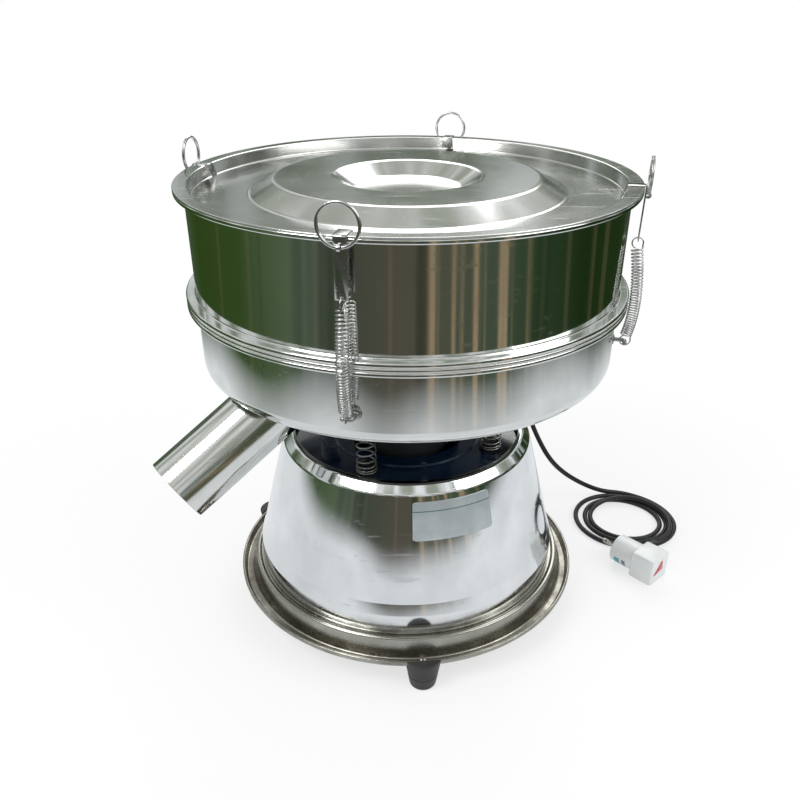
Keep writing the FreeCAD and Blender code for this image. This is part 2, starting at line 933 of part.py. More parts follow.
def build_spring_seats():
    """Seats for the four springs, on the plate and under the pan."""
    height = size.seat_washer_thick + size.seat_boss_height
    boss_radius = size.spring_radius - size.spring_wire - size.seat_gap
    lower, upper = [], []
    for bearing in bearings(size.spring_bearing, SUSPENSION_SPRINGS):
        x, y = point_at(size.spring_pitch_radius, bearing)
        low_washer = cylinder(size.seat_washer_radius, size.seat_washer_thick)
        low_boss = cylinder(boss_radius, height)
        place(low_washer, x, y, plate_top)
        place(low_boss, x, y, plate_top)
        lower.append(fused(low_washer, low_boss))
        high_washer = cylinder(size.seat_washer_radius, size.seat_washer_thick)
        high_boss = cylinder(boss_radius, height)
        place(high_washer, x, y, pan_floor - size.seat_washer_thick)
        place(high_boss, x, y, pan_floor - height)
        upper.append(fused(high_washer, high_boss))
    keep(grouped(lower), "lower_spring_seats")
    keep(grouped(upper), "upper_spring_seats")


def build_suspension_springs():
    """Four compression springs that carry the pan."""
    bottom = plate_top + size.seat_washer_thick
    top = pan_floor - size.seat_washer_thick
    bore = size.spring_radius - size.spring_wire
    corners = ((bore, 0), (size.spring_radius, 0), (size.spring_radius, top - bottom), (bore, top - bottom))
    for number, bearing in enumerate(bearings(size.spring_bearing, SUSPENSION_SPRINGS), start=1):
        x, y = point_at(size.spring_pitch_radius, bearing)
        label = f"suspension_spring_{number}"
        keep(place(turned(label, corners), x, y, bottom), label)


# ---------------------------------------------------------------- vibration motor

def build_motor_posts():
    """Four posts that hang the motor under the pan, threaded for its screws."""
    posts = []
    corners = (
        (size.motor_screw_radius, 0),
        (size.post_radius, 0),
        (size.post_radius, size.post_length),
        (0, size.post_length),
        (0, size.motor_screw_length - size.cap_thick),
        (size.motor_screw_radius, size.motor_screw_length - size.cap_thick),
    )
    for bearing in motor_bearings():
        x, y = point_at(size.post_pitch_radius, bearing)
        posts.append(place(turned("post", corners), x, y, cap_top))
    keep(grouped(posts), "motor_posts")


def motor_bearings():
    """The bearings of the motor's posts and screws, midway between the springs."""
    return bearings(size.spring_bearing + 180 / MOTOR_POSTS, MOTOR_POSTS)


def build_motor_screws():
    """Four hexagon screws through the upper cap into the posts."""
    screws = []
    for bearing in motor_bearings():
        x, y = point_at(size.post_pitch_radius, bearing)
        head = hexagon(size.motor_screw_head, size.motor_screw_head_height)
        place(head, x, y, cap_bottom - size.motor_screw_head_height)
        shank = cylinder(size.motor_screw_radius, size.motor_screw_length)
        place(shank, x, y, cap_bottom)
        screws.append(fused(head, shank))
    keep(grouped(screws), "motor_screws")


def build_motor_caps():
    """The motor's end caps, each with the seat of one bearing."""
    shaft_hole = size.shaft_radius + size.air_gap
    seat_outer = size.bearing_radius + size.bearing_seat_wall
    spigot = size.housing_radius - size.housing_wall
    upper = (
        (shaft_hole, cap_top),
        (size.cap_radius, cap_top),
        (size.cap_radius, cap_bottom),
        (seat_outer, cap_bottom),
        (seat_outer, cap_bottom - size.bearing_length),
        (size.bearing_radius, cap_bottom - size.bearing_length),
        (size.bearing_radius, cap_bottom),
        (shaft_hole, cap_bottom),
    )
    body = turned("upper_cap_casting", upper)
    holes = []
    for bearing in motor_bearings():
        x, y = point_at(size.post_pitch_radius, bearing)
        holes.append(place(cylinder(size.motor_screw_radius, size.cap_thick), x, y, cap_bottom))
    keep(cut(body, grouped(holes)), "motor_upper_cap")
    lower = (
        (shaft_hole, motor_bottom),
        (size.housing_radius, motor_bottom),
        (size.housing_radius, housing_bottom),
        (spigot, housing_bottom),
        (spigot, housing_bottom + size.housing_wall),
        (seat_outer, housing_bottom + size.housing_wall),
        (seat_outer, housing_bottom + size.bearing_length),
        (size.bearing_radius, housing_bottom + size.bearing_length),
        (size.bearing_radius, housing_bottom),
        (shaft_hole, housing_bottom),
    )
    keep(turned("motor_lower_cap", lower), "motor_lower_cap")


def build_motor_inside():
    """Housing, stator and the two ball bearings, as plain rings."""
    inner = size.housing_radius - size.housing_wall
    ring("motor_housing", inner, size.housing_radius, housing_bottom, cap_bottom)
    middle = (housing_bottom + cap_bottom) / 2
    half = size.stator_length / 2
    ring("motor_stator", size.stator_bore, inner, middle - half, middle + half)
    length = size.bearing_length
    ring("upper_bearing", size.bearing_bore, size.bearing_radius, cap_bottom - length, cap_bottom)
    ring("lower_bearing", size.bearing_bore, size.bearing_radius, housing_bottom, housing_bottom + length)
    ring("motor_rotor", size.shaft_radius, size.stator_bore - size.air_gap, middle - half, middle + half)


def build_shaft():
    """The motor shaft, standing out at both ends for the weights."""
    bottom = motor_bottom - size.shaft_overhang
    length = cap_top - motor_bottom + 2 * size.shaft_overhang
    keep(place(cylinder(size.shaft_radius, length), level=bottom), "motor_shaft")


def build_weights():
    """Two eccentric weights clamped on the shaft, and the set screws that hold them."""
    screws = []
    levels = (cap_top + size.weight_gap, motor_bottom - size.weight_gap - size.weight_thick)
    for label, level in zip(("upper_weight", "lower_weight"), levels):
        sector = cylinder(size.weight_radius, size.weight_thick)
        bind(sector, "Angle", size.weight_spread)
        place(sector, level=level, turn=-(size.weight_spread / 2))
        hub = place(cylinder(size.weight_hub_radius, size.weight_thick), level=level)
        bore = place(cylinder(size.shaft_radius, size.weight_thick), level=level)
        screw = weight_screw(level)
        keep(cut(cut(fused(sector, hub), bore), screw), label)
        screws.append(cut(screw, bore))
    keep(grouped(screws), "weight_screws")


def weight_screw(level):
    """A set screw through the thin side of a weight's hub, square to the shaft."""
    screw = cylinder(size.weight_screw_radius, size.weight_hub_radius)
    middle = level + size.weight_thick / 2
    screw.Placement = Placement(Vector(0, 0, middle.value), Rotation(Vector(0, 1, 0), -90))
    bind(screw, "Placement.Base.z", middle)
    return screw


# ---------------------------------------------------------------- clips

def leg_face(drop):
    """The radius of a clip's outer leg on its inner side, at a drop below the lid's top."""
    lean = size.clip_lean * (as_size(drop) + size.clip_sheet) / size.clip_leg
    return flange_radius + size.clip_gap - lean


def ring_centre_radius():
    """The radius at which a pull ring hangs in its eye."""
    outer_face = leg_face(size.ring_drop) + size.clip_sheet
    return outer_face + size.eye_seat + size.eye_gap + size.ring_wire_radius


def clip_hole_level():
    """The level of the hole at the foot of a clip's outer leg."""
    return lid_top + size.clip_sheet - size.clip_leg + size.clip_hole_inset


def build_clip(number, bearing):
    """A clip: a strip folded over the lid's flange, with a ring eye and a hole for its spring."""
    label = f"clip_{number}"
    top = lid_top + size.clip_sheet
    foot = top - size.clip_leg
    tongue_top = deck_bore - size.lid_gap - size.lid_sheet - size.clip_gap
    tongue_foot = tongue_top - size.clip_tongue_lean
    tongue_level = lid_top - size.clip_tongue
    shoulder_radius = flange_radius + size.clip_gap
    foot_radius = shoulder_radius - size.clip_lean
    corners = (
        (foot_radius, foot),
        (foot_radius + size.clip_sheet, foot),
        (shoulder_radius + size.clip_sheet, top),
        (tongue_top - size.clip_sheet, top),
        (tongue_foot - size.clip_sheet, tongue_level),
        (tongue_foot, tongue_level),
        (tongue_top, lid_top),
        (shoulder_radius, lid_top),
    )
    body = new_body(label)
    padded(body, outline(body, "XZ_Plane", corners), size.clip_width, both_ways=True)
    eye_radius = size.ring_wire_radius + size.eye_gap + size.eye_wall
    eye_level = lid_top - size.ring_drop
    eye = circle(body, "XZ_Plane", ring_centre_radius(), eye_level, eye_radius)
    padded(body, eye, size.eye_width, both_ways=True)
    eye_bore = circle(
        body, "XZ_Plane", ring_centre_radius(), eye_level, size.ring_wire_radius + size.eye_gap
    )
    pocket = cut_through(body, eye_bore)
    pocket.Midplane = True
    cut_through(
        body, circle(body, "YZ_Plane", 0, clip_hole_level(), size.clip_hole_radius), reverse=True
    )
    keep(place(body, turn=outward(bearing)), label)


def build_pull_ring(number, bearing):
    """A pull ring, standing up in its clip's eye."""
    torus = document.addObject("Part::Torus", "Torus")
    bind(torus, "Radius1", size.ring_radius)
    bind(torus, "Radius2", size.ring_wire_radius)
    x, y = point_at(ring_centre_radius(), bearing)
    level = lid_top - size.ring_drop + size.ring_radius
    facing = Rotation(Vector(0, 0, 1), outward(bearing).value) * Rotation(Vector(0, 1, 0), 90)
    torus.Placement = Placement(Vector(x.value, y.value, level.value), facing)
    keep(torus, f"pull_ring_{number}")


def build_clip_spring(number, bearing):
    """An extension spring bowed round the middle flanges, with a loop at each end."""
    wire = size.coil_wire_radius.value
    loop_radius = (size.coil_radius - size.coil_wire_radius).value
    leg_middle = (leg_face(size.clip_leg - size.clip_hole_inset) + size.clip_sheet / 2).value
    held_wire = (clip_hole_level() - size.clip_hole_radius + size.hook_gap).value + wire
    upper_loop = Vector(leg_middle, 0, held_wire - loop_radius)
    hook_wire = (size.hook_level - size.hook_radius - size.hook_gap).value - wire
    lower_loop = Vector((size.deck_radius + size.hook_reach).value, 0, hook_wire + loop_radius)
    top = upper_loop - Vector(0, 0, loop_radius)
    foot = lower_loop + Vector(0, 0, loop_radius)
    bow_radius = (flange_radius + size.coil_radius + size.spring_bow).value
    bow = Vector(bow_radius, 0, (pan_rim.value + barrel_foot.value) / 2)
    coil, _, _ = bent_rod([top, bow, foot], size.coil_radius.value)
    loops = [
        Part.makeTorus(loop_radius, wire, centre, Vector(0, 1, 0)) for centre in (upper_loop, lower_loop)
    ]
    shape = coil.multiFuse(loops).removeSplitter()
    keep(place(feature(shape), turn=outward(bearing)), f"clip_spring_{number}")


def build_spring_hooks():
    """Four hooks welded to the pan, each on a washer and turned sideways to hold a spring's loop."""
    level = size.hook_level.value
    root = size.deck_radius.value
    offset = size.hook_offset.value
    tip = offset - size.hook_turn.value
    reach = root + size.hook_reach.value
    route = [Vector(root - size.hook_washer_radius.value, offset, level)]
    route += [Vector(reach, offset, level), Vector(reach, tip, level)]
    rod, _, _ = bent_rod(route, size.hook_radius.value)
    washer = Part.makeCylinder(
        size.hook_washer_radius.value,
        size.hook_washer_radius.value + size.hook_washer_thick.value,
        route[0],
        Vector(1, 0, 0),
    )
    pan_wall = Part.makeCylinder(root, 2 * level)
    hook = rod.fuse(washer).cut(pan_wall).removeSplitter()
    hooks = [
        place(feature(hook), turn=outward(bearing)) for bearing in bearings(size.clip_bearing, DECK_CLIPS)
    ]
    keep(grouped(hooks), "spring_hooks")


# ---------------------------------------------------------------- supply lead

def build_gland():
    """The gland in the bell's wall: threaded body with a tapered sleeve, and the nut inside."""
    corners = (
        (0, -(size.gland_nut_thick + size.bell_sheet + size.gland_seat_gap)),
        (size.gland_thread_radius, -(size.gland_nut_thick + size.bell_sheet + size.gland_seat_gap)),
        (size.gland_thread_radius, 0),
        (size.gland_radius, 0),
        (size.gland_radius, size.gland_collar),
        (size.lead_radius + size.gland_sleeve_wall, size.gland_length),
        (0, size.gland_length),
    )
    keep(aligned(turned("cable_gland", corners)), "cable_gland")
    nut = hexagon(size.gland_nut_radius, size.gland_nut_thick)
    hole = cylinder(size.gland_thread_radius, size.gland_nut_thick)
    inside = -(size.bell_sheet + size.gland_seat_gap + size.gland_nut_thick)
    keep(cut(aligned(nut, inside), aligned(hole, inside)), "gland_nut")


def build_lead():
    """The supply lead: its run to the floor, the coil that lies there and the tail to the plug."""
    wall, direction = gland_axis()
    gland_end = wall + direction * size.gland_length.value
    outlet = plug_outlet()
    for label, route in (("supply_lead", (gland_end,) + LEAD_ROUTE), ("lead_tail", (outlet,) + TAIL_ROUTE)):
        rod, length, radii = bent_rod(list(route), size.lead_radius.value)
        section = math.pi * size.lead_radius.value ** 2
        print(label, "length", round(length, 1), "volume ratio", round(rod.Volume / (section * length), 4))
        print("  bend radii", [round(radius) for radius in radii])
        keep(feature(rod), label)
    corners = (
        (size.coil_inner_radius, 0),
        (size.coil_outer_radius, 0),
        (size.coil_outer_radius, size.coil_height),
        (size.coil_inner_radius, size.coil_height),
    )
    body = turned("lead_coil", corners)
    keep(place(body, size.coil_centre_x, size.coil_centre_y), "lead_coil")


def plug_frame():
    """The plug's own frame: X along its blades, Y towards its cable outlet, Z up."""
    corner = Vector(size.plug_corner_x.value, size.plug_corner_y.value, 0)
    return Placement(corner, Rotation(Vector(0, 0, 1), size.plug_turn.value))


def plug_outlet():
    """Where the lead leaves the plug's sleeve."""
    reach = size.plug_box_width / 2 + size.plug_nose_radius + size.sleeve_length
    outlet = Vector(size.sleeve_station.value, -reach.value, size.sleeve_level.value)
    return plug_frame().multVec(outlet)


def build_plug():
    """The plug: a square box, a round nose, two blades, a cable sleeve and a red indicator."""
    frame = plug_frame()
    width = size.plug_box_width
    body = new_body("plug_box")
    corners = ((0, -width), (size.plug_box_length, -width), (size.plug_box_length, 0), (0, 0))
    padded(body, outline(body, "XY_Plane", corners), size.plug_box_height)
    rounded(body, lambda edge: abs(edge.CenterOfMass.z) > 1e-4, size.plug_round)
    body.Placement = frame
    nose = cylinder(size.plug_nose_radius, size.plug_nose_length + size.plug_box_length / 2)
    nose_level = size.plug_box_height - size.plug_nose_radius
    start = Vector(size.plug_box_length.value / 2, -width.value / 2, nose_level.value)
    along = Rotation(Vector(0, 1, 0), 90)
    nose.Placement = frame * Placement(start, along)
    keep(fused(body, nose), "plug_body")

    blades = []
    tip = size.plug_box_length + size.plug_nose_length
    for side in (-1, 1):
        blade = document.addObject("Part::Box", "Blade")
        bind(blade, "Length", size.blade_length)
        bind(blade, "Width", size.blade_thick)
        bind(blade, "Height", size.blade_width)
        offset = side * size.blade_spacing.value / 2 - size.blade_thick.value / 2
        local = Placement(Vector(0, offset, -size.blade_width.value / 2), Rotation())
        centre = Vector(tip.value, -width.value / 2, nose_level.value)
        roll = Rotation(Vector(1, 0, 0), size.blade_roll.value)
        blade.Placement = frame * Placement(centre, roll) * local
        blades.append(blade)
    keep(grouped(blades), "plug_blades")

    sleeve = document.addObject("Part::Cone", "Sleeve")
    bind(sleeve, "Radius1", size.sleeve_root_radius)
    bind(sleeve, "Radius2", size.sleeve_tip_radius)
    bind(sleeve, "Height", size.plug_nose_radius + size.sleeve_length)
    root = Vector(size.sleeve_station.value, -width.value / 2, size.sleeve_level.value)
    sleeve.Placement = frame * Placement(root, Rotation(Vector(1, 0, 0), 90))
    nose_space = cylinder(size.plug_nose_radius, size.plug_nose_length + size.plug_box_length / 2)
    nose_space.Placement = nose.Placement
    keep(cut(sleeve, nose_space), "plug_sleeve")

    lens = new_body("plug_indicator")
    near = size.lens_inset
    far = near + size.lens_width
    low = size.lens_level
    corners = ((-near, low), (-far, low + size.lens_slant), (size.lens_slant - far, low + size.lens_height))
    padded(lens, outline(lens, "YZ_Plane", corners), size.lens_thick).Reversed = True
    lens.Placement = frame
    keep(lens, "plug_indicator")


# ---------------------------------------------------------------- build, check and export

def faults():
    """Objects that failed to build, and sub-parts without a sound shape."""
    found = [
        f"{thing.Label}: {state}"
        for thing in document.Objects
        for state in thing.State
        if state in ("Invalid", "Error")
    ]
    found += [
        f"{thing.Label}: no valid shape"
        for thing in nodes
        if thing.Shape.isNull() or not thing.Shape.isValid() or not thing.Shape.Solids
    ]
    return found


def build():
    """Build every sub-part."""
    build_lid()
    build_barrel()
    build_screen()
    build_pan()
    build_spout()
    build_bell()
    build_chassis_screws()
    build_tray()
    build_feet()
    build_foot_screws()
    build_spring_plate()
    build_plate_brackets()
    build_plate_screws()
    build_spring_seats()
    build_suspension_springs()
    build_motor_posts()
    build_motor_screws()
    build_motor_caps()
    build_motor_inside()
    build_shaft()
    build_weights()
    for number, bearing in enumerate(bearings(size.clip_bearing, DECK_CLIPS), start=1):
        build_clip(number, bearing)
        build_pull_ring(number, bearing)
        build_clip_spring(number, bearing)
    build_spring_hooks()
    build_gland()
    build_lead()
    build_plug()


build()
document.recompute()
problems = faults()
if problems:
    raise RuntimeError("; ".join(problems))
os.makedirs("parts", exist_ok=True)
for thing in nodes:
    thing.Shape.exportStep(f"parts/{thing.Label}.step")
    print(thing.Label, len(thing.Shape.Solids), round(thing.Shape.Volume))
print(len(nodes), "sub-parts")
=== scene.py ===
"""Looks of the vibrating sieve: spun steel, wire springs, clips, the base and the mains lead."""
import math
import bmesh
import bpy
from mathutils import Matrix, Vector


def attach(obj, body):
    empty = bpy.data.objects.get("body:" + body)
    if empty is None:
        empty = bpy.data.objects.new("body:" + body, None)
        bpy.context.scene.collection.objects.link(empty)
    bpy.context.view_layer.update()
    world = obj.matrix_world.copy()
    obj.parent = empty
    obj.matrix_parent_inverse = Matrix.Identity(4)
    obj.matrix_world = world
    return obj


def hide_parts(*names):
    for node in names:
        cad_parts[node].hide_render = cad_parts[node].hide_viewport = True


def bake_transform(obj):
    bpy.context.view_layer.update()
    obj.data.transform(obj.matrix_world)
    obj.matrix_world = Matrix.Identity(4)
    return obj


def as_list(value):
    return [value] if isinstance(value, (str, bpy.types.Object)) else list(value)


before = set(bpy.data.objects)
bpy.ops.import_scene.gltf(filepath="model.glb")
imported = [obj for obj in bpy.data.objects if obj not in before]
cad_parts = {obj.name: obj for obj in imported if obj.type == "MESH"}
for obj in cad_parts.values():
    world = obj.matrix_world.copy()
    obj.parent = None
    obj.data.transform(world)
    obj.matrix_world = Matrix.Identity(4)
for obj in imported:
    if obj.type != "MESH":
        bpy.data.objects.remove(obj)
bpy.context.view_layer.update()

MM = 0.001

# ---------------------------------------------------------------- sizes, in millimetres

DECK = 200.0
FLANGE = 209.0
BORE = 198.5
PAN_FLOOR = 249.0
PAN_DISH_RADIUS = 120.0
PAN_EDGE = 285.5
PAN_FALL = (PAN_EDGE - PAN_FLOOR) / (DECK - PAN_DISH_RADIUS)
PAN_FLANGE = 347.0
PAN_RIM = 351.0
SCREEN_BOTTOM = 351.8
SCREEN_TOP = 354.2
BARREL_FOOT = 355.0
BARREL_RIM = 452.5
LID_TOP = 454.0
LID_FLOOR = 442.0
PLATE_TOP = 189.0
PLATE_BOTTOM = 186.0
SEAT = 47.0
SKIRT_TOP = 70.0
SEAM_TOP = 82.0
SEAM_RADIUS = 159.0
SHOULDER = 190.0
SHOULDER_RADIUS = 131.0
CROWN = 199.0
CLIP_BEARINGS = [-13.5 + 90 * turn for turn in range(4)]
SPRING_BEARINGS = [-24.5 + 90 * turn for turn in range(4)]
FOOT_BEARINGS = [5, 125, 245]
FOOT_PITCH = 179.5
SPRING_PITCH = 95.0
SPRING_FOOT = 190.5
SPRING_HEAD = 247.5
CLIP_SPRING_TOP = 400.0
CLIP_SPRING_FOOT = 317.3
CLIP_SPRING_REACH = 211.0
CLIP_COIL_RADIUS = 4.85
SPOUT_BEARING = -56.0
SPOUT_FALL = 30.0
SPOUT_MOUTH_RADIUS = 254.0
SPOUT_MOUTH_LEVEL = 204.0
SPOUT_RADIUS = 31.75
SPOUT_RUN = 150.0
HOOK_LEVEL = 310.5
RING_LEVEL = 446.3
RING_REACH = 212.7
RING_RADIUS = 15.7


def rim_point(radius, bearing, level=0.0):
    """A point at a bearing about the machine's axis: 0 at the front, positive towards +X."""
    angle = math.radians(bearing)
    return Vector((radius * math.sin(angle), -radius * math.cos(angle), level))


def cone_radius(level):
    """The radius of the bell's outer wall at a level between its seam and its shoulder."""
    return SEAM_RADIUS - (level - SEAM_TOP) * (SEAM_RADIUS - SHOULDER_RADIUS) / (SHOULDER - SEAM_TOP)


# ---------------------------------------------------------------- mesh helpers

def linked(name, data):
    """A new object in the scene."""
    thing = bpy.data.objects.new(name, data)
    bpy.context.scene.collection.objects.link(thing)
    return thing


def mesh_object(name, points, faces, sharp=35.0):
    """A finished mesh object in metres from millimetre points."""
    mesh = bpy.data.meshes.new(name)
    mesh.from_pydata([Vector(point) * MM for point in points], [], faces)
    mesh.validate()
    thing = linked(name, mesh)
    smooth(thing, sharp)
    return thing


def smooth(thing, sharp=35.0):
    """Outward faces, smooth apart from the sharp edges."""
    work = bmesh.new()
    work.from_mesh(thing.data)
    bmesh.ops.remove_doubles(work, verts=work.verts, dist=1e-7)
    bmesh.ops.recalc_face_normals(work, faces=work.faces)
    work.to_mesh(thing.data)
    work.free()
    thing.data.shade_smooth()
    thing.data.set_sharp_from_angle(angle=math.radians(sharp))


def joined(name, things):
    """One object from several."""
    bpy.ops.object.select_all(action="DESELECT")
    for thing in things:
        thing.select_set(True)
    bpy.context.view_layer.objects.active = things[0]
    if len(things) > 1:
        bpy.ops.object.join()
    things[0].name = name
    things[0].data.name = name
    return things[0]


def applied(thing):
    """The object's modifiers turned into its own plain mesh."""
    depsgraph = bpy.context.evaluated_depsgraph_get()
    mesh = bpy.data.meshes.new_from_object(thing.evaluated_get(depsgraph), depsgraph=depsgraph)
    thing.modifiers.clear()
    thing.data = mesh
    return thing


def fillet(corners, closed):
    """The points of a profile, with each corner rounded by its own radius and held by close points."""
    points = []
    count = len(corners)
    for index, (r, z, radius) in enumerate(corners):
        here = Vector((r, z))
        if radius <= 0 or (not closed and index in (0, count - 1)):
            points.append(here)
            continue
        before = Vector(corners[index - 1][:2]) - here
        after = Vector(corners[(index + 1) % count][:2]) - here
        turn = before.angle(after)
        setback = min(radius / math.tan(turn / 2), 0.49 * before.length, 0.49 * after.length)
        radius = setback * math.tan(turn / 2)
        inwards = (before.normalized() + after.normalized()).normalized()
        centre = here + inwards * (radius / math.sin(turn / 2))
        start = here + before.normalized() * setback
        end = here + after.normalized() * setback
        if before.length > 4 * setback + 1.5:
            points.append(start + before.normalized() * 0.4)
        sweep = (start - centre).angle_signed(end - centre)
        steps = max(3, round(abs(math.degrees(sweep)) / (12 if radius < 5 else 4)))
        for step in range(steps + 1):
            angle = -sweep * step / steps
            arm = start - centre
            points.append(centre + Vector((arm.x * math.cos(angle) - arm.y * math.sin(angle),
                                           arm.x * math.sin(angle) + arm.y * math.cos(angle))))
        if after.length > 4 * setback + 1.5:
            points.append(end + after.normalized() * 0.4)
    return points


def spun(name, corners, closed=True, segments=192, centre=(0, 0)):
    """A piece turned about a vertical axis from a profile of (radius, level, corner radius)."""
    profile = fillet(corners, closed)
    points, rows = [], []
    cx, cy = centre
    for r, z in profile:
        if r < 1e-6:
            rows.append([len(points)] * segments)
            points.append((cx, cy, z))
            continue
        rows.append(list(range(len(points), len(points) + segments)))
        for step in range(segments):
            angle = 2 * math.pi * step / segments
            points.append((cx + r * math.cos(angle), cy + r * math.sin(angle), z))
    faces = []
    pairs = list(zip(rows, rows[1:]))
    if closed:
        pairs.append((rows[-1], rows[0]))
    for low, high in pairs:
        for step in range(segments):
            after = (step + 1) % segments
            loop = []
            for vertex in (low[step], low[after], high[after], high[step]):
                if vertex not in loop:
                    loop.append(vertex)
            if len(loop) > 2:
                faces.append(loop)
    return mesh_object(name, points, faces)


def rod(radius, start, end, segments):
    """A plain cylinder on Z, to cut with."""
    return spun("rod", [(0, start, 0), (radius, start, 0), (radius, end, 0), (0, end, 0)], closed=False,
                segments=segments)


def aimed(direction, centre):
    """A matrix that takes +Z to a direction and the origin to a point, both in millimetres."""
    turn = Vector(direction).to_track_quat("Z", "Y").to_matrix().to_4x4()
    return Matrix.Translation(Vector(centre) * MM) @ turn


def moved(thing, matrix):
    """Put a matrix into the mesh itself."""
    thing.data.transform(matrix)
    thing.data.update()
    return thing


def turned_copy(thing, bearing, name):
    """A copy turned about the machine's axis by a bearing."""
    return moved(linked(name, thing.data.copy()), Matrix.Rotation(math.radians(bearing), 4, "Z"))


def swept(name, centreline, radius, sides=12, closed=False):
    """A round wire or tube along points, its ends capped."""
    count = len(centreline)
    path = [Vector(point) for point in centreline]
    tangents = []
    for index in range(count):
        before = path[(index - 1) % count] if closed or index else path[0]
        after = path[(index + 1) % count] if closed or index < count - 1 else path[-1]
        tangents.append((after - before).normalized())
    side = tangents[0].orthogonal().normalized()
    points, faces = [], []
    for index in range(count):
        tangent = tangents[index]
        side = (side - tangent * side.dot(tangent)).normalized()
        other = tangent.cross(side)
        for step in range(sides):
            angle = 2 * math.pi * step / sides
            points.append(path[index] + (side * math.cos(angle) + other * math.sin(angle)) * radius)
    spans = count if closed else count - 1
    shift = 0
    if closed:
        last = points[(count - 1) * sides]
        gaps = [(last - points[step]).length for step in range(sides)]
        shift = gaps.index(min(gaps))
    for index in range(spans):
        twist = shift if closed and index == count - 1 else 0
        for step in range(sides):
            after = (step + 1) % sides
            low, high = index * sides, ((index + 1) % count) * sides
            faces.append((low + step, low + after, high + (after + twist) % sides,
                          high + (step + twist) % sides))
    if not closed:
        faces.append(tuple(range(sides)))
        faces.append(tuple((count - 1) * sides + step for step in range(sides)))
    return mesh_object(name, points, faces, 50)


def bent(corners, radius, steps):
    """A wire's centreline through corners rounded by one radius."""
    line = [Vector(corners[0])]
    for before, corner, after in zip(corners, corners[1:], corners[2:]):
        corner = Vector(corner)
        arrive = Vector(before) - corner
        leave = Vector(after) - corner
        turn = arrive.angle(leave)
        setback = min(radius / math.tan(turn / 2), 0.48 * arrive.length, 0.48 * leave.length)
        size = setback * math.tan(turn / 2)
        start = corner + arrive.normalized() * setback
        end = corner + leave.normalized() * setback
        inwards = (arrive.normalized() + leave.normalized()).normalized()
        middle = corner + inwards * (size / math.sin(turn / 2))
        for step in range(steps + 1):
            arm = (start - middle).slerp(end - middle, step / steps)
            line.append(middle + arm.normalized() * size)
    line.append(Vector(corners[-1]))
    return line


def plate(name, outline, thick, bevel):
    """A flat plate from an outline in X and Y, standing on Z = 0, with its edges softened."""
    count = len(outline)
    points = [(x, y, 0) for x, y in outline] + [(x, y, thick) for x, y in outline]
    faces = [tuple(range(count))[::-1], tuple(range(count, 2 * count))]
    for index in range(count):
        after = (index + 1) % count
        faces.append((index, after, count + after, count + index))
    return bevelled(mesh_object(name, points, faces, 30), bevel)


def bevelled(thing, width, segments=2):
    """Rounded edges, as the piece's own mesh."""
    soft = thing.modifiers.new("Bevel", "BEVEL")
    soft.width = width * MM
    soft.segments = segments
    soft.limit_method = "ANGLE"
    soft.angle_limit = math.radians(30)
    soft.harden_normals = False
    applied(thing)
    thing.data.shade_smooth()
    thing.data.set_sharp_from_angle(angle=math.radians(35))
    return thing


def carved(thing, tool):
    """The object with another cut out of it."""
    cut = thing.modifiers.new("Cut", "BOOLEAN")
    cut.operation = "DIFFERENCE"
    cut.solver = "EXACT"
    cut.object = tool
    applied(thing)
    bpy.data.objects.remove(tool)
    return thing


def thickened(thing, thickness):
    """A thin sheet given its thickness, half to each side."""
    film = thing.modifiers.new("Film", "SOLIDIFY")
    film.thickness = thickness * MM
    film.offset = 0
    return applied(thing)


# ---------------------------------------------------------------- shader groups

